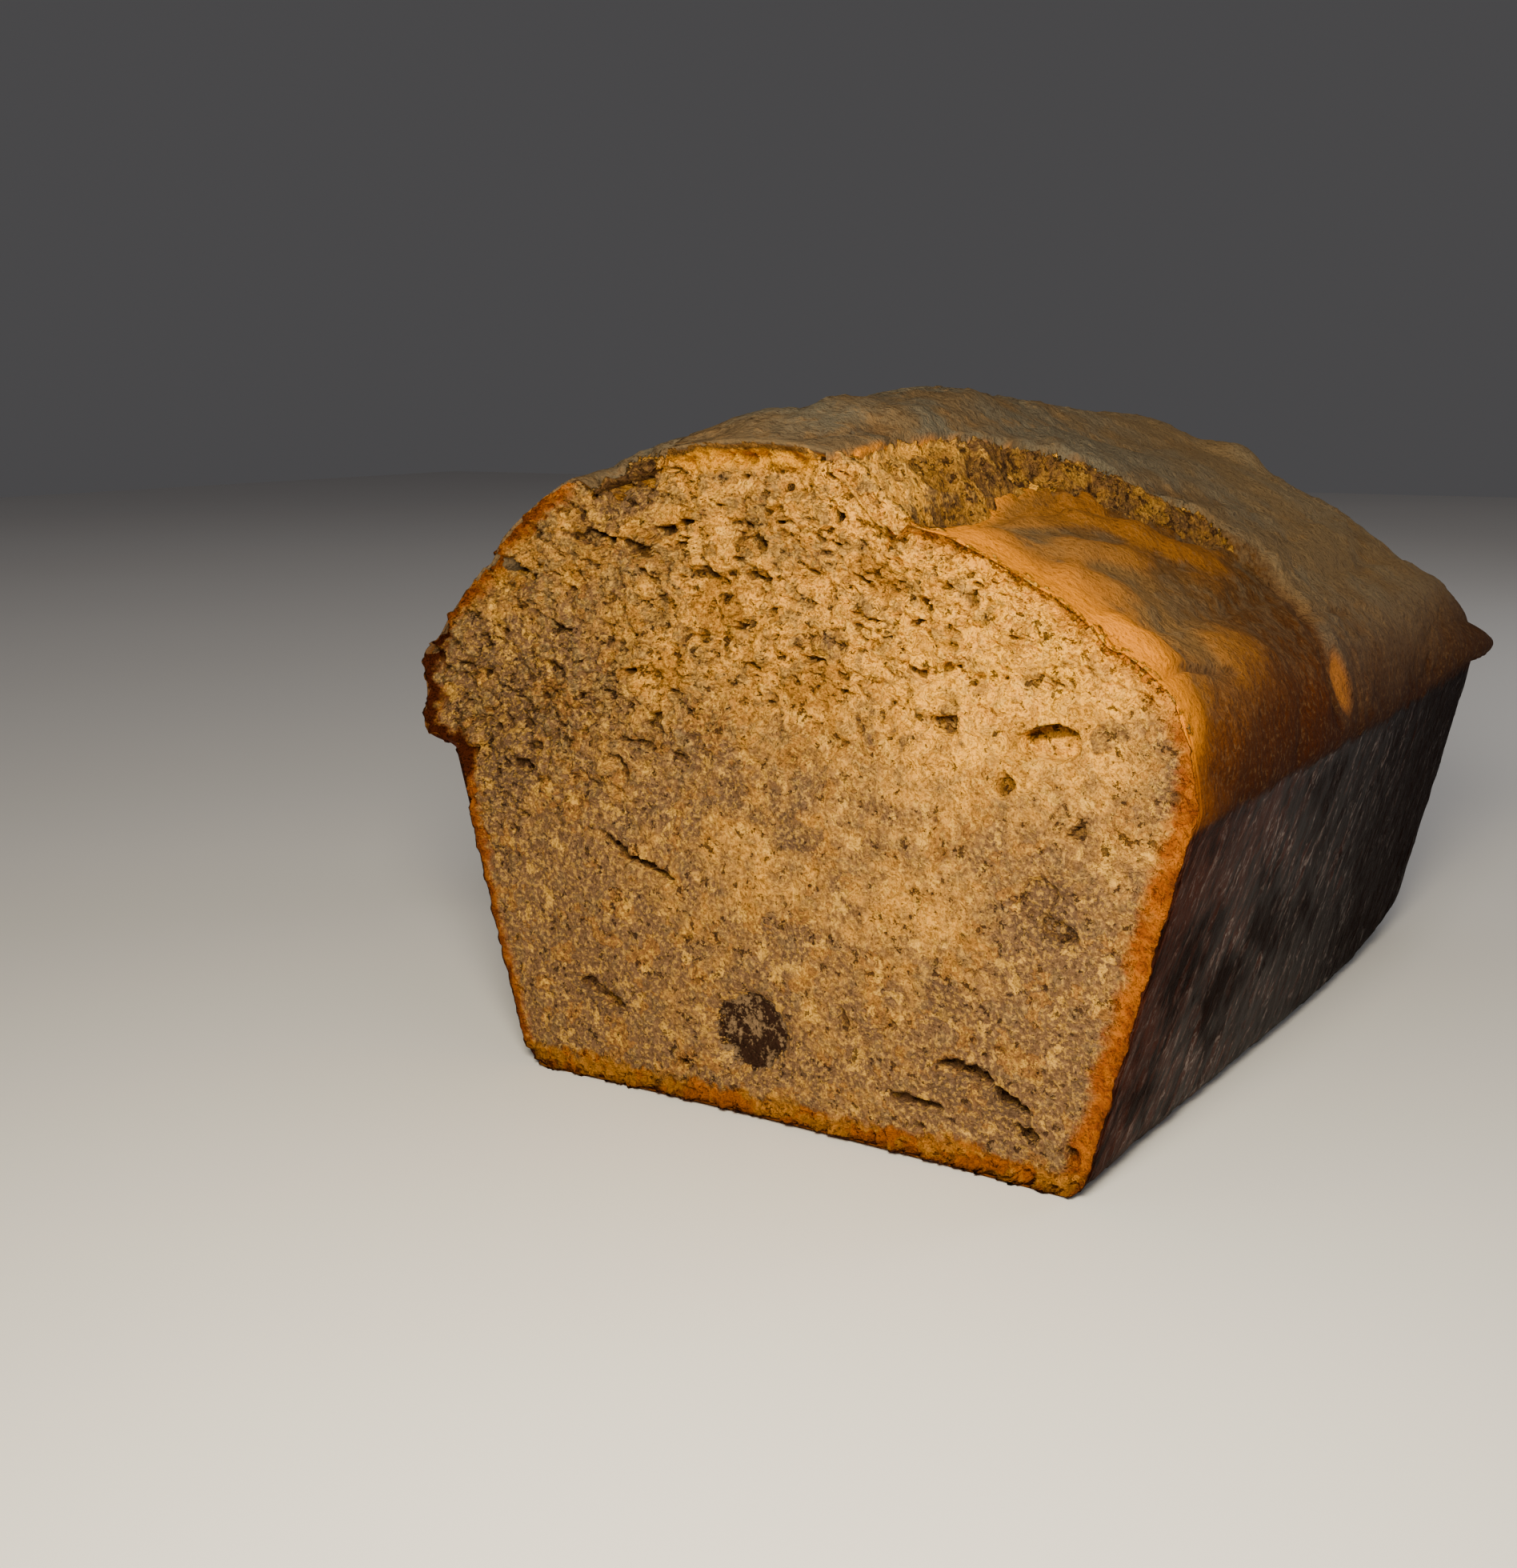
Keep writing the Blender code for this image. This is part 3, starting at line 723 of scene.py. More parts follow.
def skin_look(finish):
    """Colour, roughness, gloss and fine height of the baked skin."""
    wall, cap, gold, height, split = (finish.mask(name) for name in SKIN_MASKS[:-1])
    broad = finish.noise(60, 4)
    mottle = finish.noise(300, 5, 0.65)
    speckle = finish.noise(1300, 4, 0.65)
    back = finish.y - TO_FRAME.y + (broad - 0.5) * 0.016 + (mottle - 0.5) * 0.006
    rising = finish.z - (TO_FRAME.z + RIM_HEIGHT) + (broad - 0.5) * 0.010 + (mottle - 0.5) * 0.006
    dome = finish.coats(
        CAP_BROWN,
        (broad.between(0.42, 0.58) * back.between(-0.004, 0.016), CAP_GREY),
        (back.between(0.040, 0.130) * 0.45, CAP_PALE),
        ((mottle - height * 0.12).between(0.50, 0.66) * 0.55, CAP_OCHRE))
    lobe = finish.coats(
        LOBE_GOLD,
        (back.between(0.000, 0.020), LOBE_TAN),
        (back.between(0.014, 0.048), LOBE_BROWN),
        ((mottle - height * 0.15).between(0.46, 0.60) * back.between(0.0, 0.012) * 0.65, CAP_BROWN))
    top = finish.coats(
        lobe,
        (cap, dome),
        ((1 - rising.between(0.006, 0.022)) * (0.85 - 0.35 * cap), SHOULDER_ORANGE),
        ((1 - rising.between(-0.004, 0.018)) * back.between(-0.004, 0.020) * 0.95, SHOULDER_BROWN),
        # Painted shade and light on the relief: low places of the skin's relief are painted browner as painted
        # shade in its creases, and raised places of the lobe more golden as painted highlight.
        ((0 - height).between(0.05, 0.7) * 0.25, SHOULDER_BROWN),
        (height.between(0.15, 0.9) * (1 - cap) * rising.between(0.006, 0.018) * 0.32, LOBE_GOLD),
        (back.between(0.10, 0.15) * (1 - rising.between(0.0, 0.022)) * 0.6, SHOULDER_BROWN),
        ((gold * (0.55 + 1.2 * mottle)).between(0.1, 0.8), GOLD_EDGE),
        (speckle.between(0.52, 0.62) * (0.36 - 0.16 * gold), SHOULDER_BROWN),
        ((1 - speckle).between(0.54, 0.64) * (1 - gold) * 0.30, CAP_OCHRE),
        (split * 0.9, SPLIT_ORANGE))
    runs = finish.noise(1.0, 4, 0.65, finish.stretched(430, 430, 120, lean=-0.30))
    threads = (finish.noise(1.0, 5, 0.60, finish.stretched(620, 620, 150, lean=-0.26)) - 0.5).math("ABSOLUTE")
    side = finish.mix((runs * 0.6 + broad * 0.4 - back * 1.6).between(0.40, 0.56), WALL_BLACK, WALL_BROWN)
    # Painted highlight: the pale sheen colour is laid along thin glints, most where lit marks the front of the
    # side; the same masks also set the real coat gloss.
    lit = back.between(-0.004, 0.030) * (1 - back.between(0.050, 0.130)) * broad.between(0.36, 0.56)
    glints = (1 - threads.between(0.0, 0.030)) * runs.between(0.48, 0.60)
    side = finish.mix(glints * (0.10 + 0.42 * lit), side, WALL_PAINTED_SHEEN)
    border = (wall + (mottle - 0.5) * (0.25 + 0.9 * back.between(0.01, 0.06))).between(0.35, 0.75)
    colour = finish.mix(border, top, side)
    gloss = border * (0.02 + 0.30 * lit + (0.34 + 0.50 * lit) * glints)
    fine = (speckle * 0.00045 + mottle * 0.00100
            + border * (runs * 0.0015 - threads * 0.0024 + finish.noise(1100, 3) * 0.0003))
    return colour, 0.62 + 0.25 * speckle, gloss, fine


# %% [markdown]
# ## The crumb of the cut face
# A soft loaf tears more than it cuts. The upper half comes away in flat flakes with
# fissures under them, and the lower half is closer, with pores, air pockets and a dark
# piece of fruit. The relief is real geometry on a fine grid, so that it throws shadows
# from any light, and what lies deep is also painted darker as painted shade, with a
# painted shadow under the air pocket's upper edge. The upper right of the face is painted
# more golden, partly the crumb's own tone and partly painted light.

# %% Sizes of the crumb
CRUMB_ACROSS, CRUMB_UP = 316, 252
CRUMB_RINGS = metres([(0, 0.3), (0.7, 0.1), (1.7, 0), (3.4, 1.2), (9, 2.6)])  # its side rings: depth, inset
RAGGED, ROUND_OVER = 0.0004, 0.0034   # how far the edge wanders, and its rounding at the crack
SOFT_EDGE = 0.0018                    # how far the lobe's cut edge is rounded back
LID_STEP = 0.0009                     # how far the lifted half's skin stands before the crumb under it
STANDING_CRUMBS = 0.0020              # how high loose crumbs stand where there is no skin
SMOOTH_ROUGH, TORN_ROUGH = 0.0008, 0.0040   # relief of cut crumb, and what tearing adds to it
GAP_DEPTH, LARGE_PORE, SMALL_PORE = 0.0022, 0.0010, 0.0007
HOLLOWS = metres([  # across, height, half width, half height, turn in degrees, depth
    (-4.8, 13, 6.2, 5.5, 0, 1.4), (-27.5, 36.1, 3.6, 1, -32, 2.6), (-21.5, 33.7, 4.2, 0.9, -14, 2.4),
    (37.8, 38.4, 2.6, 3, -20, 1.4), (40.2, 34.5, 2.6, 1.8, -10, 1.8), (28.1, 14.1, 4.2, 1.2, -10, 2.6),
    (34.8, 11, 3, 1.2, -28, 3), (20.9, 8.5, 4, 1, 0, 1.8), (36.8, 7.3, 1.9, 1.3, 0, 2.4),
    (43, 6.1, 1, 2, 20, 2.4), (-32, 14.2, 3.4, 1.4, -24, 1.6), (-28.5, 13, 2, 1.3, -24, 2.2),
    (-4.3, 80.3, 1.3, 1.8, 0, 3.8), (-21.1, 54.9, 1.2, 1.8, 20, 3.4), (-27.8, 86.6, 2.4, 1.4, 25, 4.2),
    (-22.8, 88, 2, 1.2, 10, 2.4), (-47, 74.9, 2.8, 1, -10, 3.4), (-46.1, 45.9, 2, 1.4, 0, 1.8),
    (-26.8, 48, 0.8, 1.7, 0, 2.4), (32.5, 52.5, 1.3, 1.6, 30, 2.4), (24.2, 59.2, 1.4, 1.2, 0, 2),
    (42.7, 47.3, 1.4, 0.8, 0, 1.8), (-16.2, 6.3, 1.2, 0.8, 0, 1.6), (9.9, 17.1, 0.8, 1.8, 25, 1.8),
    (-24.5, 78.8, 3, 1, -8, 3.4), (-18.8, 81.2, 4.2, 1, 24, 2.8), (-32, 79.7, 5, 1, 2, 2.4)], plain=(4,))
AIR_POCKET, POCKET_DEPTH = (0.0386, 0.0580, 0.0040, 0.0024, 8, 1.0), 0.0040
PATCHES = {  # across, height, half width, half height, turn in degrees, strength
    "fruit": metres([(-4.8, 13.1, 6, 5.3, 0, 1), (40.2, 34.5, 2.4, 1.6, -20, 0.35)], plain=(4, 5)),
    "grey": metres([(3, 42.1, 4, 2.2, 0, 1), (8.2, 67.9, 3.4, 1.8, 10, 0.6), (-26.5, 86.5, 7, 3, 18, 0.9),
        (-50, 64, 6, 6, 0, 0.5), (45.8, 59.8, 2, 2.8, 0, 0.7), (25.4, 23.4, 3.8, 2.6, -20, 0.8),
        (38.8, 36.8, 4.2, 5.2, -24, 0.9), (-48, 49, 6, 10, 0, 0.7), (-6, 45, 12, 5, 10, 0.45),
        (-31, 13.8, 6, 3.4, -24, 0.5), (30, 11.5, 10, 4, -20, 0.55), (-28.5, 84.5, 8, 4, 20, 0.6),
        (-6, 7.5, 20, 4, 0, 0.3), (20, 58, 10, 4, 0, 0.4)], plain=(4, 5)),
    "tan": metres([(-10.7, 71.6, 4.5, 3.8, 20, 0.9), (5, 62, 6, 3.4, 30, 0.7), (-19, 62, 4, 3, 0, 0.6),
        (13, 77, 4, 2, -20, 0.6)], plain=(4, 5)),
}


def in_patches(x, z, patches, core=0.35, fade=1.2):
    """Strongest of some turned ellipses at a place, each at its own strength in its core."""
    strongest = 0.0
    for across, height, half_width, half_height, turn, strength in patches:
        dx, dz = x - across, z - height
        if max(abs(dx), abs(dz)) < 1.3 * (half_width + half_height):
            here = fall(in_ellipse(dx, dz, half_width, half_height, turn), core, fade)
            strongest = max(strongest, strength * here)
    return strongest


def in_pocket(x, z):
    """1 in the air pocket of the cut face, 0 outside it."""
    return in_patches(x, z, [AIR_POCKET], 0.75, 0.35)


# %% Relief of the crumb
def pore(place, size, share):
    """Depth, 0 to 1, of round pores, one in some of the cells of the given size."""
    distances, cells = noise.voronoi(place / size)
    chance = noise.cell(cells[0] * 57.0)
    if not 0.0 < chance < share:
        return 0.0
    return fall(distances[0] / (0.16 + 0.5 * chance), 0.45, 0.9)


def torn_depth(place, torn):
    """Depth of torn crumb at a place: torn, 0 to 1, makes it craggy."""
    jag = noise.noise_vector(place * 700) * 0.00035
    at = place + jag
    plates = noise.fractal(Vector((at.x * 150, at.y * 150 + 3.0, at.z * 210)), 0.55, 2.3, 4)
    flecks = noise.fractal(Vector((at.x * 420, at.y * 420 + 9.0, at.z * 500)), 0.6, 2.2, 3)
    plates, flecks = (1.0 - terraced(0.5 + 0.42 * value, steps) for value, steps in ((plates, 5), (flecks, 3)))
    broad = noise.noise(Vector((place.x * 60, 5.0 + place.y * 60, place.z * 80)))
    grain = noise.fractal(place * 1000, 0.6, 2.1, 3)
    depth = (SMOOTH_ROUGH + TORN_ROUGH * torn) * (0.75 * plates + 0.45 * flecks + 0.30 * broad)
    depth += 0.00014 * grain * (1.0 + torn)
    at += noise.noise_vector(place * 240) * 0.0016
    gaps = noise.fractal(Vector((at.x * 220, at.y * 220 + 5.0, at.z * 340 + at.x * 90)), 0.7, 2.1, 3)
    depth += GAP_DEPTH * torn * rise(-gaps, 0.34, 0.30)
    large = pore(place + jag * 2, 0.0046, 0.26)
    small = pore(place + jag + Vector((0.3, 0, 0.1)), 0.0019, 0.26)
    return depth + LARGE_PORE * large + SMALL_PORE * small


def tearing(x, z):
    """1 at the torn upper left of the cut face, 0 where the knife went cleanly through."""
    return rise(z - 0.32 * x, 0.040, 0.034)


def no_skin(x, z):
    """1 where the cut face's outline has no skin: at the crack and at the torn notch."""
    at_crack = rise(x, 0.0040, 0.002) * fall(x, 0.0165, 0.002)
    at_notch = rise(x, -0.035, 0.003) * fall(x, CAP_START, 0.001)
    return max(at_crack, at_notch) * rise(z, 0.075, 0.004)


def young_edge(x, z):
    """1 where the dome's skin is thin and golden at the cut, 0 on the walls and the left shoulder."""
    return rise(x - CAP_START, -0.001, 0.002) * rise(z, 0.060, 0.008)


def burnt_edge(x, z):
    """How dark the crust's cut edge is: most on the left lip, some low down, none on the dome."""
    lip = 1.6 * rise(-x, 0.054, 0.003) * fall(z, 0.064, 0.006) * rise(z, 0.040, 0.006)
    low = 0.45 * fall(z, 0.050, 0.020)
    left_top = 0.55 * rise(-x, 0.034, 0.008)
    return max(lip, low, left_top)


print("depth of the crumb in the middle", round(torn_depth(Vector((0, 0, 0.045)), 0.3) * 1000, 2), "mm")


# %% Crumb mesh
def levelled(depth, reach):
    """Depths averaged over their neighbours, which leaves out hollows narrower than the reach."""
    for step_x, step_z in ((1, 0), (0, 1)):
        around = [(step_x * n, step_z * n) for n in range(-reach, reach + 1)]
        depth = {(i, k): sum(depth.get((i + di, k + dk), own) for di, dk in around) / len(around)
                 for (i, k), own in depth.items()}
    return depth


def crumb_mesh():
    """A slab whose front is the torn face and whose sides carry the skin back over the crust's rim."""
    mesh = bmesh.new()
    deepest = len(CRUMB_RINGS) - 1
    unit_grid(mesh, (CRUMB_ACROSS, deepest, CRUMB_UP))
    layers = mask_layers(mesh, CRUMB_MASKS + SKIN_MASKS)
    cells = {vert: (round((vert.co.x + 1) / 2 * CRUMB_ACROSS), round((vert.co.y + 1) / 2 * deepest),
                    round((vert.co.z + 1) / 2 * CRUMB_UP)) for vert in mesh.verts}
    onto_form(mesh, lambda share: CRUMB_RINGS[round(share * deepest)][0])
    sides = [vert for vert, (i, _, k) in cells.items()
             if not (0 < i < CRUMB_ACROSS and 0 < k < CRUMB_UP)]
    rim = [(vert.co.copy(), outward(vert)) for vert in sides if cells[vert][1] == 0]
    outline = kdtree.KDTree(len(rim))
    for index, (place, _) in enumerate(rim):
        outline.insert(place, index)
    outline.balance()
    depth, edge_depth = {}, {}
    front = [vert for vert in mesh.verts if cells[vert][1] == 0]
    for vert in front:
        _, index, inside = outline.find(vert.co)
        x, z = vert.co.x, vert.co.z
        place = Vector((x, 0.0, z))
        cut = torn_depth(place, tearing(x, z)) * (0.35 + 0.65 * smoothstep(inside / 0.0020))
        low = math.exp(-(z / 0.0035) ** 2)
        cut += low * 0.0016 * max(noise.fractal(place * 780, 0.8, 2.0, 3) + 0.25, 0.0)
        warp = noise.noise_vector(place * 260) * 0.0011 + noise.noise_vector(place * 900) * 0.0005
        cut += in_patches(x + warp.x, z + warp.z, HOLLOWS, 0.55, 0.8) * smoothstep(inside / 0.0010)
        pocket = in_pocket(x + 0.4 * warp.x, z + 0.4 * warp.z)
        cut = cut * (1.0 - 0.7 * pocket) + POCKET_DEPTH * pocket
        edge_x, edge_z = rim[index][0].x, rim[index][0].z
        skinless, young = no_skin(edge_x, edge_z), young_edge(edge_x, edge_z)
        key = cells[vert][0], cells[vert][2]
        depth[key] = cut
        over = min(max(1.0 - inside / ROUND_OVER, 0.0), 1.0)
        soft = young * (1.0 - skinless) * rise(edge_x, 0.014, 0.004)
        rounding = (skinless * ROUND_OVER * 0.8 + soft * SOFT_EDGE) * (1.0 - math.sqrt(1.0 - over * over))
        lid = young * fall(edge_x, 0.005, 0.003) * (1.0 - skinless)
        ragged = 0.0008 * noise.noise(place * 500)
        edge_depth[key] = rounding + LID_STEP * lid * smoothstep((inside - 0.0012 + ragged) / 0.0008)
        edge_depth[key] -= LID_STEP * lid * smoothstep((inside - 0.0045 + ragged) / 0.0030)
        showing = smoothstep(inside / 0.0008 + 0.30 + 0.3 * young) * (1.0 - soft)
        showing += soft * (0.5 + 0.5 * smoothstep((inside - 0.0008 + 2.0 * ragged) / 0.0012))
        shown = {"edge": inside / 0.001 + FULL_EDGE * skinless, "lid": lid, "young": young,
                 "burnt": burnt_edge(edge_x, edge_z), "torn": tearing(x, z), "bare": max(showing, skinless)}
        for name, patches in PATCHES.items():
            shown[name] = in_patches(x + 1.4 * warp.x, z + 1.4 * warp.z, patches)
        mark(vert, layers, shown)
        wander = RAGGED * (1.0 + 2.0 * rise(-edge_x, 0.054, 0.003))
        wander *= noise.fractal(place * 330, 0.8, 2.0, 3) - 0.1
        standing = max(noise.fractal(place * 520, 0.7, 2.0, 2), -0.3)
        wander += STANDING_CRUMBS * skinless * (1.0 - 0.8 * rise(edge_x, 0.0085, 0.003)) * standing
        vert.co += rim[index][1] * wander * (1.0 - smoothstep(inside / 0.0022))
    level = levelled(depth, 4)
    for vert in front:
        key = cells[vert][0], cells[vert][2]
        vert.co.y = depth[key] + edge_depth[key]
        # Painted shade: the mask says how far a place lies deeper than its neighbours, and inside the air
        # pocket it adds a painted shadow under the upper edge.
        pocket = in_pocket(vert.co.x, vert.co.z)
        over_floor = vert.co.z - AIR_POCKET[1] + 0.0002 - 0.2 * (vert.co.x - AIR_POCKET[0])
        shade = pocket * smoothstep(over_floor / 0.0014)
        vert[layers["deep"]] = (depth[key] - level[key]) / 0.001 * (1.0 - pocket) + 2.2 * shade
    for vert in sides:
        i, ring, k = cells[vert]
        back_by, skinless = edge_depth[i, k], no_skin(vert.co.x, vert.co.z)
        raised, masks = skin_at(vert.co)
        if ring:
            point = vert.co.copy()
            inset = CRUMB_RINGS[ring][1] + skinless * 0.0008 * ring
            if ring > 1:
                inset += 0.0007 * rise(point.x, 0.014, 0.004) * rise(point.z, 0.040, 0.008)
            vert.co += outward(vert) * (raised * (1.0 - skinless) - inset + 0.00016 * noise.noise(point * 900))
            vert.co.y = CRUMB_RINGS[ring][0] + 0.0003 + back_by
            if point.z < 0.0004:
                vert.co.z = point.z + inset
            young = young_edge(point.x, point.z)
            bare = masks["bare"] if ring > 2 else (0.50 if ring == 1 else 0.40) * young
            mark(vert, layers, {"bare": max(skinless, bare), "edge": FULL_EDGE * skinless, "young": young,
                                "burnt": burnt_edge(point.x, point.z)})
        mark(vert, layers, {name: masks[name] for name in ("wall", "cap", "gold")})
    back = [face for face in mesh.faces if all(cells[vert][1] == deepest for vert in face.verts)]
    for vert in {vert for face in back for vert in face.verts}:
        vert.co.y = CRUMB_RINGS[deepest][0]
    bmesh.ops.dissolve_faces(mesh, faces=back)
    return mesh


# %% [markdown]
# ### Crumb colours
# Torn crumb is made of small plates with jagged borders. In the material they are a
# noise brought onto steps: the steps give the fine relief, their feet are painted darker
# as painted shade and their edges paler as painted highlight, and separate stepped noises
# spread gold, grey and reddish patches over them.

# %% Crumb colours
CRUMB_GOLD, CRUMB_TAN, CRUMB_PALE = paint(238, 166, 52), paint(112, 83, 58), paint(226, 171, 72)
CRUMB_OCHRE, CRUMB_RED, CRUMB_OLIVE = paint(152, 98, 34), paint(104, 58, 38), paint(116, 98, 66)
CRUMB_GREY, CRUMB_SHADE, CRUMB_SPECK = paint(92, 70, 54), paint(72, 47, 26), paint(44, 26, 18)
FRUIT_DARK, FRUIT_PALE, TAN_PATCH = paint(46, 29, 20), paint(118, 94, 68), paint(164, 108, 36)
RIM_GOLD, RIM_ORANGE, RIM_DARK = paint(128, 60, 2), paint(156, 84, 8), paint(56, 22, 6)
# The bright yellow on the next line is partly the crumb's own golden tone and partly painted light, laid on
# around the face's brightest spot.
CRUMB_GOLD_PAINTED_LIGHT = paint(252, 180, 24)
RIM_BRIGHT, LID_BROWN = paint(214, 146, 18), paint(98, 68, 34)
# Centre and reach of the brightest spot of the cut face, partly its own golden tone and partly painted light.
PAINTED_LIGHT_AT, PAINTED_LIGHT_REACH = (0.032, 0.070), 0.022


def crumb_look(finish):
    """Colour, roughness and fine height of the torn crumb."""
    fruit, grey, tan, deep, edge, burnt, torn, young, lid = (finish.mask(name) for name in CRUMB_MASKS)
    x, z = finish.x - TO_FRAME.x, finish.z - TO_FRAME.z
    broad = finish.noise(55, 4)
    jagged = finish.noise(210, 7, 0.61)
    ragged = finish.noise(320, 7, 0.62, finish.shifted(0.3))
    clump = finish.noise(300, 5, 0.6, finish.shifted(0.7))
    grain = finish.noise(1500, 3, 0.65)
    steps, foot = finish.terraced(jagged, 16)
    # Partly the crumb's own golden tone and partly painted light: the face is painted more golden towards its
    # upper right and around its brightest spot, and duller low down and a little to the right, as painted
    # shade.
    away = ((x - PAINTED_LIGHT_AT[0]) ** 2.0 + (z - PAINTED_LIGHT_AT[1]) ** 2.0).math("SQRT") / PAINTED_LIGHT_REACH
    gold_and_painted_light = (-0.02 + 0.42 * (x + (broad - 0.5) * 0.05).between(-0.044, 0.004)
             + 0.84 * (1 - away.between(0.2, 1.4)) + 0.34 * z.between(0.052, 0.078)
             - 0.36 * (1 - z.between(0.006, 0.040)) - 0.26 * x.between(0.02, 0.04))
    speck = (finish.noise(640, 4, 0.7) + deep * 0.04 + (broad - 0.5) * 0.08).between(0.605, 0.645)
    in_fruit = fruit + (ragged - 0.5) * 0.6 + (grain - 0.5) * 1.2
    flesh = finish.mix(((1 - ragged) + (grain - 0.5) * 0.8).between(0.48, 0.60), FRUIT_DARK, FRUIT_PALE)
    wander = (clump - 0.5) * 3.4 + (ragged - 0.5) * 4.0
    flank = (1 - z.between(0.046, 0.064)) * x.between(-0.02, 0.03) * 2.0
    rim = finish.mix(young, finish.mix(ragged.between(0.46, 0.56), RIM_GOLD, RIM_ORANGE), GOLD_EDGE)
    from_edge = (edge + wander * (1 - 0.6 * young) - flank) / (1 + 0.8 * young)
    under_lid = edge + (clump - 0.5) * 2.0
    low = 1 - (z + (clump - 0.5) * 0.006 + (ragged - 0.5) * 0.006).between(0.0026, 0.0044)
    colour = finish.coats(
        CRUMB_TAN,
        # Gold and a brighter yellow pool: partly the crumb's own tone and partly painted light.
        ((gold_and_painted_light + (clump - 0.5) * 1.2 + (broad - 0.5) * 1.2).between(0.0, 1.0), CRUMB_GOLD),
        ((1 - away.between(0.2, 1.1)) * clump.between(0.40, 0.56) * 0.55, CRUMB_GOLD_PAINTED_LIGHT),
        (jagged.between(0.560, 0.580) * 0.50, CRUMB_OCHRE),
        ((ragged + torn * 0.02).between(0.555, 0.580) * (0.30 + 0.30 * torn), CRUMB_OLIVE),
        ((1 - ragged).between(0.585, 0.605) * 0.55, CRUMB_PALE),
        ((1 - jagged + (broad - 0.5) * 0.3).between(0.58, 0.64) * 0.5, CRUMB_GREY),
        ((1 - clump).between(0.63, 0.69) * torn * 0.55, CRUMB_RED),
        ((tan * 1.2 + (ragged - 0.5)).between(0.3, 0.6) * 0.8, TAN_PATCH),
        ((grey * 1.2 + (ragged - 0.5) * 2.0).between(0.35, 0.75) * grey.between(0.0, 0.3) * 0.75, CRUMB_GREY),
        # Painted shade at the feet of the steps, and a painted highlight on their edges.
        (foot.between(0.78, 1.0) * jagged.between(0.30, 0.55) * (0.30 + 0.35 * torn), CRUMB_SHADE),
        ((1 - foot.between(0.02, 0.16)) * (0.15 + 0.20 * torn), CRUMB_PALE),
        ((0.5 - grain).between(0.00, 0.12) * 0.36, CRUMB_PALE),
        ((grain - 0.5).between(0.02, 0.13) * 0.40, CRUMB_SHADE),
        # Painted shade in whatever lies deeper than its neighbours.
        ((deep + (grain - 0.5)).between(0.15, 0.85) * 0.70, CRUMB_SHADE),
        (speck * 0.8, CRUMB_SPECK),
        (in_fruit.between(0.30, 0.50) * fruit.between(0.0, 0.1), flesh),
        ((1 - from_edge.between(0.2, 2.4)) * (0.90 - 0.45 * young), rim),
        (lid * (1 - under_lid.between(2.8, 4.2)) * 0.75, RIM_BRIGHT),
        (lid * (1 - under_lid.between(0.8, 1.5)) * 0.95, LID_BROWN),
        (low * 0.9, finish.mix(jagged.between(0.46, 0.54), RIM_ORANGE, TAN_PATCH)),
        ((1 - (edge + wander * 0.6).between(0.2, 1.0 + burnt * 0.8)) * burnt, RIM_DARK),
        (low * speck.math("MAXIMUM", ragged.between(0.60, 0.64)) * 0.8, RIM_DARK))
    height = (steps * (0.0045 + 0.0050 * torn) + ragged * 0.0016 - grain * 0.00060 - speck * 0.0008
              + low * ragged * 0.0034)
    return colour, 0.72 + 0.2 * grain, height


def bread_finish(name):
    """Skin and crumb in one material: the mask called bare says where the crumb shows."""
    finish = Finish(name)
    skin_colour, skin_rough, gloss, skin_height = skin_look(finish)
    crumb_colour, crumb_rough, crumb_height = crumb_look(finish)
    bare = (finish.mask("bare") + (finish.noise(900, 4, 0.65) - 0.5) * 1.6).between(0.42, 0.58)
    height = skin_height + (crumb_height - skin_height) * bare
    finish.surface(Base_Color=finish.mix(bare, skin_colour, crumb_colour),
                   Roughness=skin_rough + (crumb_rough - skin_rough) * bare, Specular_IOR_Level=0.03,
                   Coat_Weight=gloss * (1 - bare) * 0.5, Coat_Roughness=0.22,
                   Normal=finish.bump(height, 1.0))
    return finish.material


# %% Crust and crumb pieces
add_piece(crust_mesh(), "crust", bread_finish("baked_crust"))
crumb_material = bread_finish("torn_crumb")
add_piece(crumb_mesh(), "crumb", crumb_material)

# %% [markdown]
# ## The torn crack
# Where the dome lifted, the crumb under the skin tore open. It gets a fine strip of its
# own along the crack, laid over the sunken part of the crust, with the same torn relief
# as the cut face, so that the skin's edge stands over it like a broken shell.

# %% Torn strip
STRIP_ACROSS, STRIP_ALONG = 56, 230
STRIP_FROM, STRIP_TO, STRIP_UNDER = 0.050, 0.66, 0.0060
STRIP_BEFORE, STRIP_WIDER, STRIP_BEVEL = 0.0024, 0.0044, 0.0026
STRIP_HOLLOWS = metres([  # x, y, half width, half length, turn in degrees, depth
    (12.5, 19, 2.6, 5, 0, 2.2), (17, 38.5, 2.4, 6, -25, 3.6), (17.2, 14, 1.8, 8, 0, 2),
    (24, 47.5, 1.2, 1.6, 0, 2.6), (12, 9, 1.4, 2.2, 0, 1.6), (12, 29, 2, 3, 0, 1.6)], plain=(4,))
STRIP_GREY = metres([(16.8, 17, 3, 11, 0, 0.45), (17.5, 38.5, 3.4, 7, -30, 0.5)], plain=(4, 5))


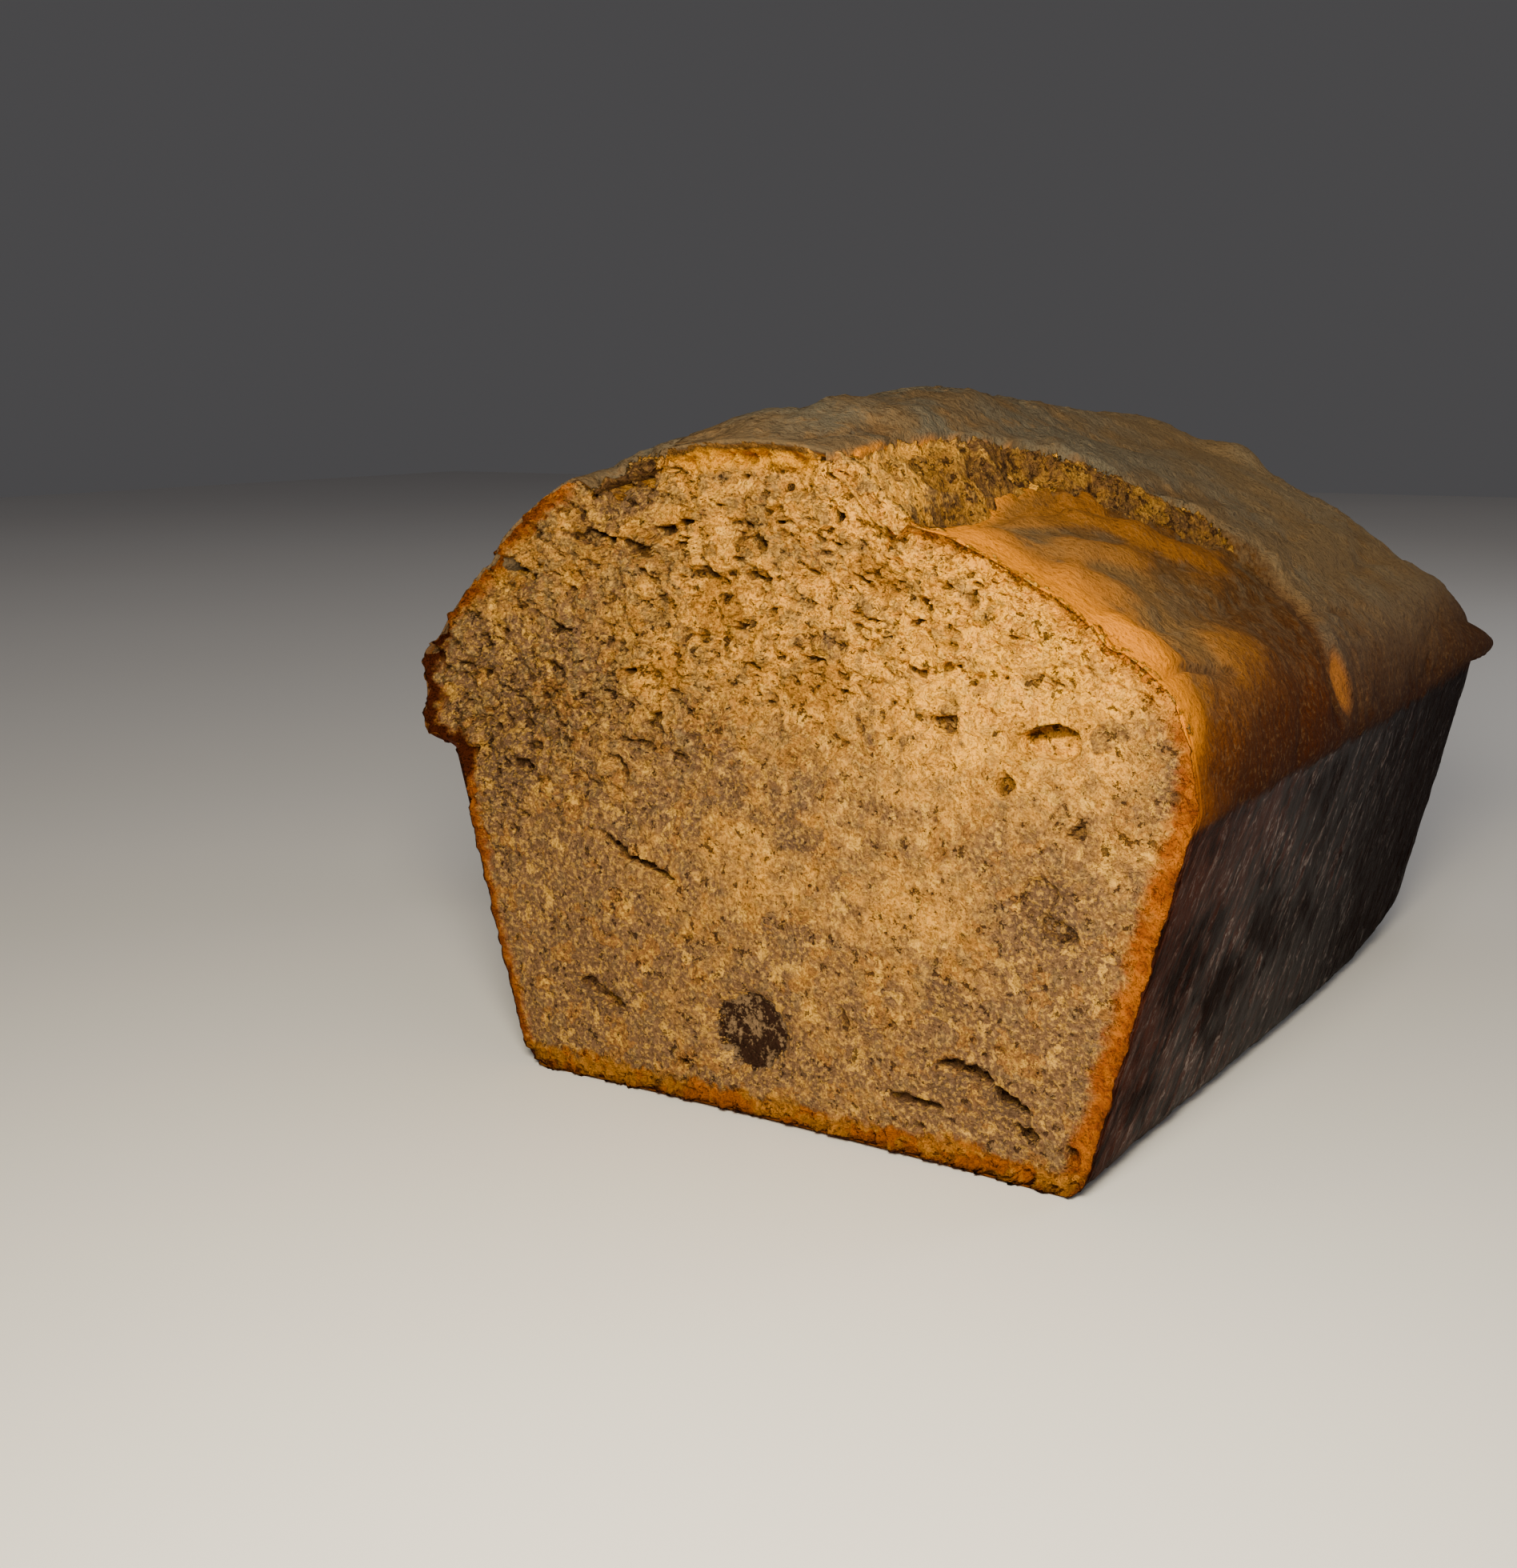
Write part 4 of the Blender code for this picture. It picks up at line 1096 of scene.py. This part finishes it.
def strip_mesh():
    """A closed strip of torn crumb that follows the crack from the cut face back."""
    mesh = bmesh.new()
    unit_grid(mesh, (STRIP_ACROSS, STRIP_ALONG, 1))
    layers = mask_layers(mesh, ("deep", "grey", "edge", "torn", "bare"))
    for vert in mesh.verts:
        across, along = (vert.co.x + 1) / 2, (vert.co.y + 1) / 2
        share = STRIP_FROM + (STRIP_TO - STRIP_FROM) * along
        here, ahead = Vector(point_along(CRACK, share)), Vector(point_along(CRACK, share + 0.004))
        heading = (ahead - here).normalized()
        width = curve_through(BARE_WIDTH, crack_place(*here)[1])
        offset = -STRIP_BEFORE + (width + STRIP_WIDER) * across
        x, y = here.x + heading.y * offset, max(here.y - heading.x * offset, 0.0012)
        z = top_height(x, y)
        place = Vector((x, y, z))
        at_cut = fall(y, 0.0014, 0.0020)
        hollow = in_patches(x, y, STRIP_HOLLOWS, 0.2, 1.2)
        depth = (0.8 * torn_depth(place, CRACK_TORN) - 0.0009 + hollow) * (1.0 - at_cut) + 0.0010 * at_cut
        edge = min((across - 0.12) / 0.20, (1 - across) / 0.09, (1 - along) / 0.15)
        below = depth + STRIP_BEVEL * (1 - smoothstep(edge)) if vert.co.z > 0 else STRIP_UNDER
        vert.co = place - Vector((0, 0, below))
        # Painted shade: the strip in the crack is painted darker all over, and darker and greyer further back,
        # where the crack narrows.
        far = rise(y, 0.010, 0.022)
        mark(vert, layers, {
            "deep": (0.7 * depth + 0.0005 + 0.0014 * far) / 0.0026, "bare": 1.0, "edge": FULL_EDGE,
            "grey": max(in_patches(x, y, STRIP_GREY), 0.55 * far), "torn": CRACK_TORN})
    return mesh


add_piece(strip_mesh(), "torn_strip", crumb_material)

# %% [markdown]
# ## Studio
# A pale floor and soft lights. The key light stands beside the camera, so the cut face
# is bright and the dark side shows only long streaks of gloss, which a pale painted sheen
# on the side's glints makes stronger.

# %% Floor and lights
FLOOR_SIZE, FLOOR_PALE, FLOOR_MOTTLE = 3.0, paint(225, 220, 216), paint(232, 228, 224)
LIGHTS = [  # name, place, size in metres, power in watts, colour
    ("key", (0.100, -0.260, 0.165), 0.08, 1.44, (1.0, 0.91, 0.70)),
    ("fill", (-0.60, -0.70, 0.60), 0.70, 0.7, (1.0, 0.98, 0.95)),
    ("above", (0.10, 0.20, 1.10), 1.20, 2.4, (1.0, 0.98, 0.95)),
    ("behind", (0.42, 0.50, 0.22), 0.20, 1.0, (0.92, 0.96, 1.0)),
]
LOOKS_AT = Vector((0, 0, 0.05))


def add_floor():
    """Pale floor, faintly mottled."""
    finish = Finish("pale_floor")
    colour = finish.mix(finish.noise(3.0, 2), FLOOR_PALE, FLOOR_MOTTLE)
    finish.surface(Base_Color=colour, Roughness=0.6)
    mesh = bmesh.new()
    bmesh.ops.create_grid(mesh, x_segments=2, y_segments=2, size=FLOOR_SIZE / 2)
    bmesh.ops.translate(mesh, verts=mesh.verts, vec=Vector((0, 0, cad_low[2])))
    data = bpy.data.meshes.new("floor")
    mesh.to_mesh(data)
    mesh.free()
    data.materials.append(finish.material)
    floor = new_object("floor", data)


def add_light(name, place, size, power, colour):
    """Square soft light that looks at the loaf."""
    data = bpy.data.lights.new(name, "AREA")
    data.size, data.energy, data.color = size, power, colour
    light = new_object(name, data)
    light.visible_camera = False
    light.location = place
    light.rotation_euler = (LOOKS_AT - light.location).to_track_quat("-Z", "Y").to_euler()


add_floor()
for light in LIGHTS:
    add_light(*light)
world = bpy.data.worlds.new("room")
bpy.context.scene.world = world
world.use_nodes = True
sky = world.node_tree.nodes["Background"].inputs
sky["Color"].default_value, sky["Strength"].default_value = paint(205, 203, 206), 0.12
print(len(LIGHTS), "lights")
